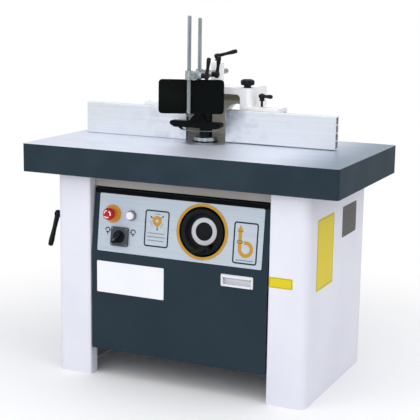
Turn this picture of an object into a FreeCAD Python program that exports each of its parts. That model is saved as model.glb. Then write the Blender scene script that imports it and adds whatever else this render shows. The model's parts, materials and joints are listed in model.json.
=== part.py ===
import FreeCAD, Part
import math
import os
import re
import Sketcher

# A floor-standing spindle moulder: a cast table on a folded-sheet stand, a spindle that is raised by a
# handwheel, a fence with a chip hood, and a hold-down with a guard plate above the cutter.
# Millimetres; the origin is on the floor under the middle of the table, X to the right, Y to the back.

SIZES = {
    # table
    "table_width": 1120.0,
    "table_depth": 610.0,
    "table_height": 790.0,
    "table_thickness": 95.0,
    "table_plate": 32.0,
    "table_wall": 26.0,
    "table_rib": 16.0,
    "table_rib_drop": 45.0,
    "table_rib_x": 300.0,
    "table_rib_inset": 90.0,
    "table_corner": 10.0,
    "table_bore": 92.0,
    "bore_wall": 24.0,
    "ring_seat": 110.0,
    "ring_thickness": 10.0,
    "ring_step": 72.0,
    "ring_lip": 6.0,
    "ring_ledge": 7.0,
    "ring_hole": 47.0,
    "ring_play": 0.3,
    # stand
    "stand_width": 910.0,
    "front_overhang": 45.0,
    "rear_overhang": 10.0,
    "leg_width": 131.0,
    "leg_return": 44.0,
    "leg_bend": 30.0,
    "rear_flange": 60.0,
    "sheet": 3.0,
    "foot_width": 62.0,
    "foot_thickness": 6.0,
    "anchor_hole": 7.0,
    "anchor_edge": 33.0,
    "anchor_front_inset": 80.0,
    "anchor_back_inset": 65.0,
    "rail_height": 40.0,
    "rail_depth": 34.0,
    "rail_setback": 34.0,
    "rear_rail_height": 60.0,
    "cover_bottom": 66.0,
    "cover_top": 630.0,
    "cover_lap": 30.0,
    "cover_sheet": 2.0,
    "louvre_length": 220.0,
    "louvre_x": 143.0,
    "louvre_height": 7.0,
    "louvre_pitch": 24.0,
    "louvre_first": 420.0,
    "louvre_count": 6,
    # door and console
    "door_recess": 3.0,
    "door_gap": 5.0,
    "door_bottom": 97.0,
    "door_sheet": 2.0,
    "door_depth": 18.0,
    "console_bend": 430.0,
    "console_length": 221.0,
    "console_tilt": 7.0,
    "hinge_inset": 10.0,
    "hinge_pin": 4.0,
    "hinge_low": 126.0,
    "hinge_high": 372.0,
    "hinge_plate": 12.0,
    "knuckle_height": 14.0,
    "hinge_reach": 29.0,
    "pull_x": 215.0,
    "pull_height": 394.0,
    "pull_width": 112.0,
    "pull_tall": 40.0,
    "pull_rim": 6.0,
    "pull_depth": 14.0,
    "pull_wall": 1.5,
    "plate_width": 596.0,
    "plate_low": 11.0,
    "plate_tall": 194.0,
    "plate_thickness": 2.0,
    "plate_corner": 5.0,
    # controls on the console, measured along it from the bend
    "wheel_u": 84.5,
    "wheel_v": 111.0,
    "wheel_window": 82.0,
    "trim_width": 9.5,
    "trim_thickness": 1.5,
    "button_v": 139.0,
    "estop_inset": 52.0,
    "estop_plate": 30.0,
    "estop_bezel": 16.0,
    "estop_head": 20.0,
    "estop_stem": 10.0,
    "estop_travel": 5.0,
    "start_apart": 71.0,
    "start_bezel_radius": 17.0,
    "start_cap": 13.0,
    "start_travel": 4.0,
    "selector_apart": 32.0,
    "selector_v": 65.0,
    "selector_plate": 64.0,
    "selector_knob_radius": 21.0,
    "selector_shaft": 4.0,
    "button_play": 0.08,
    "block_depth": 46.0,
    # handwheel and its shaft
    "wheel_radius": 76.0,
    "wheel_rim": 15.0,
    "wheel_proud": 6.0,
    "wheel_dish": 20.0,
    "wheel_back": 16.0,
    "hub_skin": 3.0,
    "dial_radius": 45.0,
    "dial_bore": 30.0,
    "dial_thickness": 3.0,
    "shaft_radius": 9.0,
    "shaft_play": 0.05,
    "handle_length": 58.0,
    "handle_radius": 8.0,
    "handle_offset": 56.0,
    "handle_turn": 202.0,
    "handle_phase": -58.0,
    "handle_pin": 3.0,
    "handle_gap": 0.5,
    "ear_spread": 6.0,
    "ear_thickness": 4.5,
    "ear_reach": 6.5,
    # lifting gear
    "screw_radius": 10.0,
    "screw_foot": 232.0,
    "gear_teeth": 16,
    "gear_module": 3.5,
    "gear_face": 12.0,
    "gear_hub": 8.0,
    "gear_backlash": 0.6,
    "bracket_plate": 16.0,
    "bracket_arm": 26.0,
    "lug_height": 40.0,
    "lug_bottom": 385.0,
    "nut_radius": 16.0,
    "nut_flange": 23.0,
    "nut_flange_thickness": 7.0,
    "foot_bearing": 20.0,
    "bush_wall": 9.0,
    "bush_arm": 24.0,
    "bracket_ahead": 35.0,
    "bracket_behind": 20.0,
    "bracket_drop": 6.0,
    "bracket_rise": 60.0,
    "arm_past_x": 24.0,
    "arm_past_y": 22.0,
    # slide way and carriage
    "spindle_x": -50.0,
    "spindle_set": 368.0,
    "way_plate": 30.0,
    "way_set": 155.0,
    "screw_set": 50.0,
    "way_width": 180.0,
    "way_bottom": 300.0,
    "way_pad_drop": 43.0,
    "way_flange_reach": 45.0,
    "way_flange_thickness": 20.0,
    "dovetail_root": 38.0,
    "dovetail_tip": 48.0,
    "dovetail_depth": 22.0,
    "slide_play": 0.3,
    "slide_gap": 0.5,
    "slide_width": 140.0,
    "slide_depth": 52.0,
    "slide_bottom": 340.0,
    "slide_top": 690.0,
    "barrel_radius": 52.0,
    "barrel_bottom": 345.0,
    "barrel_top": 735.0,
    "barrel_bore": 28.0,
    "bearing_radius": 36.0,
    "bearing_height": 20.0,
    "web_thickness": 36.0,
    "web_top": 600.0,
    # spindle
    "journal": 17.5,
    "shoulder": 24.0,
    "arbor": 15.0,
    "flange_radius": 43.0,
    "flange_lift": 4.0,
    "flange_thickness": 12.0,
    "collar_radius": 22.5,
    "collar_count": 5,
    "collar_height": 20.0,
    "collar_gap": 0.4,
    "nut_height": 20.0,
    "spindle_foot": 256.0,
    # belt drive
    "motor_distance": 240.0,
    "pulley_bottom": 262.0,
    "pulley_step": 24.0,
    "spindle_pulley_large": 58.0,
    "spindle_pulley_small": 48.0,
    "motor_pulley_large": 76.0,
    "motor_pulley_small": 66.0,
    "belt_width": 12.0,
    "belt_thickness": 8.0,
    "belt_play": 0.3,
    "motor_radius": 88.0,
    "motor_bottom": 345.0,
    "motor_length": 220.0,
    "fan_cover": 50.0,
    "fan_cover_radius": 82.0,
    "motor_shaft_radius": 12.0,
    "motor_shaft_depth": 62.0,
    "motor_shaft_gap": 2.0,
    "motor_end_inset": 20.0,
    "motor_end_slope": 14.0,
    "motor_end_round": 4.0,
    "fan_cover_round": 14.0,
    "motor_feet_width": 100.0,
    "motor_feet_inset": 30.0,
    "motor_feet_bite": 24.0,
    "terminal_low": 80.0,
    "terminal_tall": 80.0,
    "terminal_width": 80.0,
    "terminal_out": 34.0,
    "terminal_bite": 20.0,
    "motor_foot": 18.0,
    "motor_plate_thickness": 12.0,
    "motor_plate_width": 120.0,
    "motor_plate_bottom": 352.0,
    "motor_plate_top": 560.0,
    "fin_count": 28,
    "fin_height": 8.0,
    "fin_thickness": 3.0,
    "fin_root": 3.0,
    "fin_start": 20.0,
    "fin_end": 8.0,
    # spindle lock on the left
    "lock_height": 515.0,
    "lock_radius": 8.0,
    "lock_hub_out": 70.0,
    "lock_hub_radius": 14.0,
    "lock_hub_length": 30.0,
    "lock_arm": 118.0,
    "lock_lean": 21.0,
    "lock_root": 9.5,
    "lock_tip": 10.0,
    "lock_rise": 3.0,
    "lock_gap": 0.5,
    "lock_boss_reach": 30.0,
    "lock_boss_bite": 5.0,
    "lock_boss_inset": 4.0,
    "lock_boss_tall": 40.0,
    "lock_boss_back": 18.0,
    # fence and chip hood
    "fence_thickness": 28.0,
    "fence_set": 3.0,
    "fence_height": 110.0,
    "fence_length": 396.0,
    "fence_opening": 151.0,
    "left_fence_lift": 0.6,
    "right_fence_lift": 3.0,
    "fence_wall": 4.0,
    "fence_chambers": 4,
    "hood_width": 300.0,
    "hood_depth": 166.0,
    "hood_set": 29.0,
    "hood_height": 187.0,
    "hood_wall": 8.0,
    "hood_corner": 16.0,
    "hood_lift": 0.3,
    "mouth_width": 226.0,
    "mouth_height": 164.0,
    "mouth_corner": 14.0,
    "wing_length": 105.0,
    "wing_depth": 84.0,
    "wing_top": 122.0,
    "wing_thickness": 14.0,
    "wing_web": 12.0,
    "slot_width": 9.0,
    "slot_set": 46.0,
    "fence_in": 12.0,
    "fence_out": 38.0,
    "hood_travel": 40.0,
    "bracket_thickness": 8.0,
    "bracket_length": 74.0,
    "bracket_gap": 0.5,
    "port_radius": 50.0,
    "port_wall": 3.0,
    "port_length": 42.0,
    "port_offset": 35.0,
    "port_height": 68.0,
    "knob_radius": 24.0,
    "knob_height": 20.0,
    "knob_stem": 9.0,
    "low_knob_stem": 2.0,
    "low_knob_height": 9.0,
    "knob_lobes": 7,
    "stud_radius": 6.0,
    "stud_set": 20.0,
    "stud_inset": 18.0,
    "stud_depth": 25.0,
    # hold-down above the table
    "post_radius": 23.0,
    "post_height": 80.0,
    "post_set": 24.0,
    "bar_offset": 16.0,
    "bar_height": 235.0,
    "bar_radius": 9.0,
    "bar_ahead": 22.0,
    "bar_behind": 72.0,
    "rod_offset": 24.0,
    "rod_radius": 6.5,
    "rod_length": 325.0,
    "shoe_rod_length": 333.0,
    "rod_end": 5.0,
    "guard_rod_foot": 107.0,
    "guard_rod_set": 123.0,
    "shoe_rod_set": 41.0,
    "shoe_rod_foot": 90.0,
    "clamp_height": 30.0,
    "clamp_depth": 26.0,
    "clamp_boss": 13.0,
    "clamp_wall": 6.0,
    "clamp_web": 14.0,
    "clamp_right": 24.0,
    "guard_left": 102.0,
    "guard_right": 118.0,
    "guard_bottom": 105.0,
    "guard_tall": 115.0,
    "guard_thickness": 6.0,
    "guard_corner": 12.0,
    "guard_turn": 24.0,
    "guard_block": 16.0,
    "guard_gap": 3.0,
    "saddle_wall": 4.0,
    "saddle_low": 6.0,
    "saddle_drop": 14.0,
    "shoe_length": 192.0,
    "shoe_left": 105.0,
    "shoe_depth": 28.0,
    "shoe_bottom": 50.0,
    "shoe_thickness": 22.0,
    "shoe_web": 70.0,
    "shoe_web_rise": 26.0,
    "leaf_thickness": 1.2,
    "leaf_drop": 9.0,
    # clamp levers
    "lever_hub": 12.0,
    "lever_hub_height": 24.0,
    "lever_arm": 62.0,
    "clamp_rise": 7.0,
    "fence_lever_arm": 60.0,
    "fence_lever_rise": 2.0,
    "fence_lever_stem": 20.0,
    "post_lever_rise": 15.0,
    "post_lever_stem": 7.0,
    "post_lever_arm": 76.0,
    "lever_tip": 7.5,
    "lever_root": 6.5,
    "lever_stud": 4.0,
    "lever_lift": 0.5,
    "lever_edge": 10.0,
    "lever_stud_gap": 0.5,
    "fence_lever_swing": 35.0,
    "left_lever_swing": 110.0,
}

# Places that follow from the sizes: the plate's left edge, the table's front, the spindle and the hood
DERIVED = {
    "estop_u": "estop_inset - plate_width / 2",
    "start_u": "estop_u + start_apart",
    "selector_u": "estop_u + selector_apart",
    "spindle_y": "spindle_set - table_depth / 2",
    "way_front": "way_set - table_depth / 2",
    "screw_y": "way_front + screw_set",
    "fence_y": "spindle_y - fence_set",
    "hood_front": "spindle_y + hood_set",
    "slot_y": "hood_front + slot_set",
    "stud_y": "hood_front + stud_set",
    "stud_x": "hood_width / 2 - stud_inset",
    "post_y": "hood_front + post_set",
    "guard_rod_y": "spindle_y - guard_rod_set",
    "shoe_rod_y": "spindle_y - shoe_rod_set",
    "bar_front": "guard_rod_y - bar_ahead",
    "bar_back": "post_y + bar_behind",
    "table_rib_y": "table_depth / 2 - table_rib_inset",
    "anchor_front": "front_overhang - table_depth / 2 + anchor_front_inset",
    "anchor_back": "table_depth / 2 - rear_overhang - anchor_back_inset",
}

doc = FreeCAD.newDocument("spindle_moulder")
sheet = doc.addObject("Spreadsheet::Sheet", "Sizes")
for row, (size_name, size) in enumerate(SIZES.items(), start=1):
    sheet.set(f"A{row}", size_name)
    sheet.set(f"B{row}", str(size))
    sheet.setAlias(f"B{row}", size_name)
for row, (size_name, formula) in enumerate(DERIVED.items(), start=len(SIZES) + 1):
    sheet.set(f"A{row}", size_name)
    sheet.set(f"B{row}", "=" + formula)
    sheet.setAlias(f"B{row}", size_name)
doc.recompute()

V = FreeCAD.Vector
NODES = {}
LATERAL = {"z": ("XY_Plane", 1), "y": ("XZ_Plane", -1), "x": ("YZ_Plane", 1)}
TURNED_TO = {"x": ((0, 1, 0), 90), "y": ((1, 0, 0), -90)}


# Working with the sheet

def sized(text):
    known = SIZES.keys() | DERIVED.keys()
    return re.sub(r"[A-Za-z_]\w*", lambda word: "Sizes." + word[0] if word[0] in known else word[0],
                  str(text))


def number(text):
    return float(sheet.evalExpression(sized(text)))


def count(text):
    return int(round(number(text)))


def place(obj, x=0, y=0, z=0, axis=None, angle=0):
    if axis:
        obj.Placement = FreeCAD.Placement(V(), FreeCAD.Rotation(V(*axis), 1))
        obj.setExpression("Placement.Rotation.Angle", sized(angle))
    for letter, text in zip("xyz", (x, y, z)):
        obj.setExpression(f"Placement.Base.{letter}", sized(text))
    return obj


def node(name, obj):
    obj.Label = name
    NODES[name] = obj
    return obj


# Sketches: an outline is a list of corners (x, y) or (x, y, radius), each an expression on the sizes

def corner_arc(before, here, after, radius):
    to_before = (before - here).normalize()
    to_after = (after - here).normalize()
    half = to_before.getAngle(to_after) / 2
    reach = radius / math.tan(half)
    centre = here + (to_before + to_after).normalize() * (radius / math.sin(half))
    left_turn = (here - before).cross(after - here).z > 0
    enter = here + to_before * reach
    leave = here + to_after * reach
    first, last = (enter, leave) if left_turn else (leave, enter)
    start = math.atan2(first.y - centre.y, first.x - centre.x)
    end = math.atan2(last.y - centre.y, last.x - centre.x)
    arc = Part.ArcOfCircle(Part.Circle(centre, V(0, 0, 1), radius), start, end)
    return arc, enter, leave, left_turn


def fixed_point(geometry, end, x, y):
    return [(Sketcher.Constraint("DistanceX", -1, 1, geometry, end, number(x)), x),
            (Sketcher.Constraint("DistanceY", -1, 1, geometry, end, number(y)), y)]


def fixed_radius(geometry, radius):
    return [(Sketcher.Constraint("Radius", geometry, number(radius)), radius)]


def constrain(sketch, rules):
    """Adds constraints in one go and ties each one that has a size to the sheet."""
    first = sketch.ConstraintCount
    sketch.addConstraint([rule for rule, text in rules])
    for index, (rule, text) in enumerate(rules, start=first):
        if text is not None:
            sketch.setExpression(f"Constraints[{index}]", sized(text))


def outline(sketch, corners):
    total = len(corners)
    points = [V(number(corner[0]), number(corner[1]), 0) for corner in corners]
    enters, leaves, arcs = list(points), list(points), {}
    for i, corner in enumerate(corners):
        if len(corner) > 2:
            arc, enters[i], leaves[i], left_turn = corner_arc(
                points[i - 1], points[i], points[(i + 1) % total], number(corner[2]))
            arcs[i] = (arc, left_turn)
    lines = [sketch.addGeometry(Part.LineSegment(leaves[i], enters[(i + 1) % total])) for i in range(total)]
    rules = []
    for i, corner in enumerate(corners):
        if i in arcs:
            arc, left_turn = arcs[i]
            bend = sketch.addGeometry(arc)
            tip = sketch.addGeometry(Part.Point(points[i]), True)
            first, last = (1, 2) if left_turn else (2, 1)
            rules += [(Sketcher.Constraint("Tangent", lines[i - 1], 2, bend, first), None),
                      (Sketcher.Constraint("Tangent", bend, last, lines[i], 1), None),
                      (Sketcher.Constraint("PointOnObject", tip, 1, lines[i - 1]), None),
                      (Sketcher.Constraint("PointOnObject", tip, 1, lines[i]), None)]
            rules += fixed_radius(bend, corner[2])
            rules += fixed_point(tip, 1, corner[0], corner[1])
        else:
            rules.append((Sketcher.Constraint("Coincident", lines[i - 1], 2, lines[i], 1), None))
            rules += fixed_point(lines[i], 1, corner[0], corner[1])
    constrain(sketch, rules)


def ring(sketch, x, y, radius):
    circle = sketch.addGeometry(Part.Circle(V(number(x), number(y), 0), V(0, 0, 1), number(radius)))
    constrain(sketch, fixed_point(circle, 3, x, y) + fixed_radius(circle, radius))


def rectangle(x0, y0, x1, y1, radius=None):
    corners = [(x0, y0), (x1, y0), (x1, y1), (x0, y1)]
    return [corner + (radius,) for corner in corners] if radius else corners


def draw(body, role, offset, loops):
    sketch = body.newObject("Sketcher::SketchObject", body.Name + "_outline")
    plane = next(feature for feature in body.Origin.OriginFeatures if feature.Role == role)
    sketch.AttachmentSupport = [(plane, "")]
    sketch.MapMode = "FlatFace"
    sketch.setExpression("AttachmentOffset.Base.z", sized(offset))
    for loop in loops:
        if isinstance(loop, tuple):
            ring(sketch, *loop)
        else:
            outline(sketch, loop)
    return sketch


# Solids

def prism(name, axis, low, high, *loops):
    body = doc.addObject("PartDesign::Body", name)
    role, sense = LATERAL[axis]
    sketch = draw(body, role, low if sense > 0 else f"-({high})", loops)
    pad = body.newObject("PartDesign::Pad", name + "_pad")
    pad.Profile = sketch
    pad.setExpression("Length", sized(f"({high}) - ({low})"))
    return body


def turned(name, *loops):
    body = doc.addObject("PartDesign::Body", name)
    sketch = draw(body, "XZ_Plane", "0", loops)
    turn = body.newObject("PartDesign::Revolution", name + "_turn")
    turn.Profile = sketch
    turn.ReferenceAxis = (sketch, ["V_Axis"])
    turn.Angle = 360
    return body


def box(name, x0, y0, z0, x1, y1, z1):
    block = doc.addObject("Part::Box", name)
    for side, low, high in (("Length", x0, x1), ("Width", y0, y1), ("Height", z0, z1)):
        block.setExpression(side, sized(f"({high}) - ({low})"))
    return place(block, x0, y0, z0)


def rod(name, axis, radius, low, high, across=0, up=0):
    """A round bar along an axis; across and up are its two other coordinates, in X, Y, Z order."""
    bar = doc.addObject("Part::Cylinder", name)
    bar.setExpression("Radius", sized(radius))
    bar.setExpression("Height", sized(f"({high}) - ({low})"))
    if axis == "z":
        return place(bar, across, up, low)
    turn, angle = TURNED_TO[axis]
    if axis == "x":
        return place(bar, low, across, up, turn, angle)
    return place(bar, across, low, up, turn, angle)


def fuse(name, *parts):
    joined = doc.addObject("Part::MultiFuse", name)
    joined.Shapes = list(parts)
    joined.Refine = True
    return joined


def cut(name, base, *tools):
    pierced = doc.addObject("Part::Cut", name)
    pierced.Base = base
    pierced.Tool = tools[0] if len(tools) == 1 else fuse(name + "_tools", *tools)
    pierced.Refine = True
    return pierced


def group(name, *parts):
    kept = doc.addObject("Part::Compound", name)
    kept.Links = list(parts)
    return kept


# Places that several pieces share

TABLE_UNDER = "(table_height - table_thickness)"
PLATE_UNDER = "(table_height - table_plate)"
STAND_SIDE = "(stand_width / 2)"
STAND_FRONT = "(front_overhang - table_depth / 2)"
STAND_BACK = "(table_depth / 2 - rear_overhang)"
LEG_INNER = "(stand_width / 2 - leg_width)"
DOOR_FRONT = f"({STAND_FRONT} + door_recess)"
DOOR_HALF = f"({LEG_INNER} - door_gap)"
HINGE_X = f"(hinge_inset - {DOOR_HALF})"
HINGE_Y = f"({DOOR_FRONT} + hinge_inset)"
WAY_FACE = "(way_front + way_plate)"
WAY_TOP = f"({PLATE_UNDER} - way_pad_drop)"
WAY_RIGHT = "(spindle_x + way_width / 2)"
WAY_LEFT = "(spindle_x - way_width / 2)"
LOCK_Y = f"({WAY_FACE} + dovetail_depth / 2)"
SLIDE_LEFT = "(spindle_x - slide_width / 2)"
MOTOR_X = "(spindle_x + motor_distance)"
CONE = "((90 + console_tilt) / 2)"
PITCH = "(gear_teeth * gear_module / 2)"
GEAR_BACK = f"({PITCH} / tan({CONE}) + 1.1 * gear_module * sin({CONE}) + gear_hub)"
WHEEL_Y = f"({DOOR_FRONT} + wheel_v * sin(console_tilt))"
WHEEL_Z = "(console_bend + wheel_v * cos(console_tilt))"
SHAFT_REACH = f"((screw_y - {WHEEL_Y}) / cos(console_tilt))"
GEAR_Z = f"({WHEEL_Z} - {SHAFT_REACH} * sin(console_tilt))"
SCREW_TOP = f"({GEAR_Z} - {GEAR_BACK})"
FLANGE_TOP = "(table_height + flange_lift + flange_thickness)"
COLLAR_TOP = f"({FLANGE_TOP} + collar_count * (collar_height + collar_gap))"
HOOD_TOP = "(table_height + hood_height)"
BAR_X = "(spindle_x + bar_offset)"
BAR_Z = "(table_height + bar_height)"
ROD_X = f"({BAR_X} - rod_offset)"
FENCE_LEVER_X = "(hood_width / 2 + fence_in + lever_stud + lever_edge)"


def on_console(obj, u, v, out=0):
    """Puts a piece on the sloping console: u across, v up the slope, out square to it."""
    return place(obj, u,
                 f"{DOOR_FRONT} + ({v}) * sin(console_tilt) - ({out}) * cos(console_tilt)",
                 f"console_bend + ({v}) * cos(console_tilt) + ({out}) * sin(console_tilt)",
                 (1, 0, 0), "90 - console_tilt")


def console_rod(name, radius, low, high, u, v):
    """A round bar square to the console, from low to high above its face."""
    return on_console(rod(name, "z", radius, "0", f"({high}) - ({low})"), u, v, low)


# Table

def make_table():
    half_x, half_y = "table_width / 2", "table_depth / 2"
    slab = prism("slab", "z", TABLE_UNDER, "table_height",
                 rectangle(f"-{half_x}", f"-{half_y}", half_x, half_y, "table_corner"))
    hollow = prism("slab_hollow", "z", f"{TABLE_UNDER} - 1", PLATE_UNDER,
                   rectangle(f"table_wall - {half_x}", f"table_wall - {half_y}",
                             f"{half_x} - table_wall", f"{half_y} - table_wall", "table_corner"))
    ribs = []
    for side in (1, -1):
        ribs.append(box("rib_across", f"{side} * table_rib_x - table_rib / 2", f"table_wall / 2 - {half_y}",
                        f"{PLATE_UNDER} - table_rib_drop", f"{side} * table_rib_x + table_rib / 2",
                        f"{half_y} - table_wall / 2", f"{PLATE_UNDER} + 1"))
        ribs.append(box("rib_along", f"table_wall / 2 - {half_x}", f"{side} * table_rib_y - table_rib / 2",
                        f"{PLATE_UNDER} - table_rib_drop", f"{half_x} - table_wall / 2",
                        f"{side} * table_rib_y + table_rib / 2", f"{PLATE_UNDER} + 1"))
    boss = rod("bore_boss", "z", "table_bore + bore_wall", f"{PLATE_UNDER} - way_pad_drop",
               f"{PLATE_UNDER} + 1", "spindle_x", "spindle_y")
    pad = box("way_pad", WAY_LEFT, "way_front - 45", WAY_TOP, WAY_RIGHT, f"{WAY_FACE}", f"{PLATE_UNDER} + 1")
    casting = fuse("casting", cut("skirted", slab, hollow), boss, pad, *ribs)
    bore = rod("spindle_bore", "z", "table_bore", TABLE_UNDER, "table_height + 1", "spindle_x", "spindle_y")
    seat = rod("ring_seat_cut", "z", "ring_seat", "table_height - ring_thickness", "table_height + 1",
               "spindle_x", "spindle_y")
    studs = [rod("stud_hole", "z", "stud_radius + shaft_play", "table_height - stud_depth",
                 "table_height + 1", f"spindle_x + {side} * stud_x", "stud_y") for side in (1, -1)]
    node("table", cut("table", casting, bore, seat, *studs))
    outer = turned("outer_ring", [
        ("ring_step - ring_ledge", "-ring_thickness"), ("ring_seat - ring_play", "-ring_thickness"),
        ("ring_seat - ring_play", "0"), ("ring_step", "0"), ("ring_step", "-ring_lip"),
        ("ring_step - ring_ledge", "-ring_lip")])
    inner = turned("inner_ring", [
        ("ring_hole", "-ring_lip"), ("ring_step - ring_play", "-ring_lip"),
        ("ring_step - ring_play", "0"), ("ring_hole", "0")])
    node("table_rings", place(group("table_rings", outer, inner), "spindle_x", "spindle_y", "table_height"))


# Stand of folded sheet

def make_side_panel(name, side):
    def x(text):
        return f"{side} * ({text})"

    fold = prism(name + "_fold", "z", "0", TABLE_UNDER, [
        (x(f"{STAND_SIDE} - rear_flange"), STAND_BACK), (x(STAND_SIDE), STAND_BACK),
        (x(STAND_SIDE), STAND_FRONT, "leg_bend"), (x(LEG_INNER), STAND_FRONT, "2 * sheet"),
        (x(LEG_INNER), f"{STAND_FRONT} + leg_return"),
        (x(f"{LEG_INNER} + sheet"), f"{STAND_FRONT} + leg_return"),
        (x(f"{LEG_INNER} + sheet"), f"{STAND_FRONT} + sheet", "sheet"),
        (x(f"{STAND_SIDE} - sheet"), f"{STAND_FRONT} + sheet", "leg_bend - sheet"),
        (x(f"{STAND_SIDE} - sheet"), f"{STAND_BACK} - sheet"),
        (x(f"{STAND_SIDE} - rear_flange"), f"{STAND_BACK} - sheet")])
    holes = [(x(f"{STAND_SIDE} - anchor_edge"), place_y, "anchor_hole")
             for place_y in ("anchor_front", "anchor_back")]
    strip = rectangle(x(f"{STAND_SIDE} - sheet - foot_width"), f"{STAND_FRONT} + leg_bend",
                      x(f"{STAND_SIDE} - sheet / 2"), f"{STAND_BACK} - sheet / 2")
    foot = prism(name + "_foot", "z", "0", "foot_thickness", strip, *holes)
    head = prism(name + "_head", "z", f"{TABLE_UNDER} - foot_thickness", TABLE_UNDER, strip, *holes)
    return fuse(name + "_welded", fold, foot, head)


def make_stand():
    node("right_side_panel", make_side_panel("right_side_panel", 1))
    lock_hole = rod("lock_hole", "x", "lock_radius + slide_play", f"-{STAND_SIDE} - 1",
                    f"-{STAND_SIDE} + sheet + 1", LOCK_Y, "lock_height")
    node("left_side_panel", cut("left_side_panel", make_side_panel("left_panel", -1), lock_hole))

    rail_y = f"({STAND_FRONT} + rail_setback)"
    front = prism("front_rail", "x", f"-{LEG_INNER}", LEG_INNER, [
        (rail_y, f"{TABLE_UNDER} - rail_height"), (f"{rail_y} + sheet", f"{TABLE_UNDER} - rail_height"),
        (f"{rail_y} + sheet", f"{TABLE_UNDER} - sheet"),
        (f"{rail_y} + rail_depth", f"{TABLE_UNDER} - sheet"),
        (f"{rail_y} + rail_depth", TABLE_UNDER), (rail_y, TABLE_UNDER)])
    rails = [front]
    rear = f"({STAND_BACK} - sheet)"
    end = f"({STAND_SIDE} - sheet - foot_width)"
    for low, high, shelf_low, shelf_high in (
            (f"{TABLE_UNDER} - rear_rail_height", TABLE_UNDER, f"{TABLE_UNDER} - sheet", TABLE_UNDER),
            ("0", "rear_rail_height", "0", "sheet")):
        upright = box("rear_upright", f"-{end}", f"{rear} - sheet", low, end, rear, high)
        shelf = box("rear_shelf", f"-{end}", f"{rear} - rail_depth", shelf_low, end, rear, shelf_high)
        rails.append(fuse("rear_rail", upright, shelf))
    node("cross_rails", group("cross_rails", *rails))

    half = f"({STAND_SIDE} - rear_flange + cover_lap)"
    cover = prism("rear_cover", "y", STAND_BACK, f"{STAND_BACK} + cover_sheet",
                  rectangle(f"-{half}", "cover_bottom", half, "cover_top", "sheet"))
    slots = [rectangle(f"{side} * louvre_x - louvre_length / 2", "louvre_first",
                       f"{side} * louvre_x + louvre_length / 2", "louvre_first + louvre_height",
                       "louvre_height * 0.49") for side in (1, -1)]
    louvre = cover.newObject("PartDesign::Pocket", "louvre")
    louvre.Profile = draw(cover, "XZ_Plane", f"-{STAND_BACK}", slots)
    louvre.setExpression("Length", sized("2 * cover_sheet"))
    rows = cover.newObject("PartDesign::LinearPattern", "louvre_rows")
    rows.Originals = [louvre]
    rows.Direction = (louvre.Profile[0], ["V_Axis"])
    rows.setExpression("Length", sized("(louvre_count - 1) * louvre_pitch"))
    rows.setExpression("Occurrences", sized("louvre_count"))
    cover.Tip = rows
    node("rear_cover", cover)


# Door with its sloping console

def door_profile(inset, back):
    """The door's side outline, set in from the front by inset and reaching back by the given depth."""
    top_y = f"{DOOR_FRONT} + console_length * sin(console_tilt)"
    top_z = "console_bend + console_length * cos(console_tilt)"
    return [(f"{DOOR_FRONT} + {inset}", f"door_bottom + {inset}"),
            (f"{DOOR_FRONT} + {back}", f"door_bottom + {inset}"), (f"{DOOR_FRONT} + {back}", "console_bend"),
            (f"{top_y} + {back} - {inset} * tan(console_tilt)", f"{top_z} - {inset}"),
            (f"{top_y} + {inset} - {inset} * tan(console_tilt)", f"{top_z} - {inset}"),
            (f"{DOOR_FRONT} + {inset}", "console_bend")]


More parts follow.
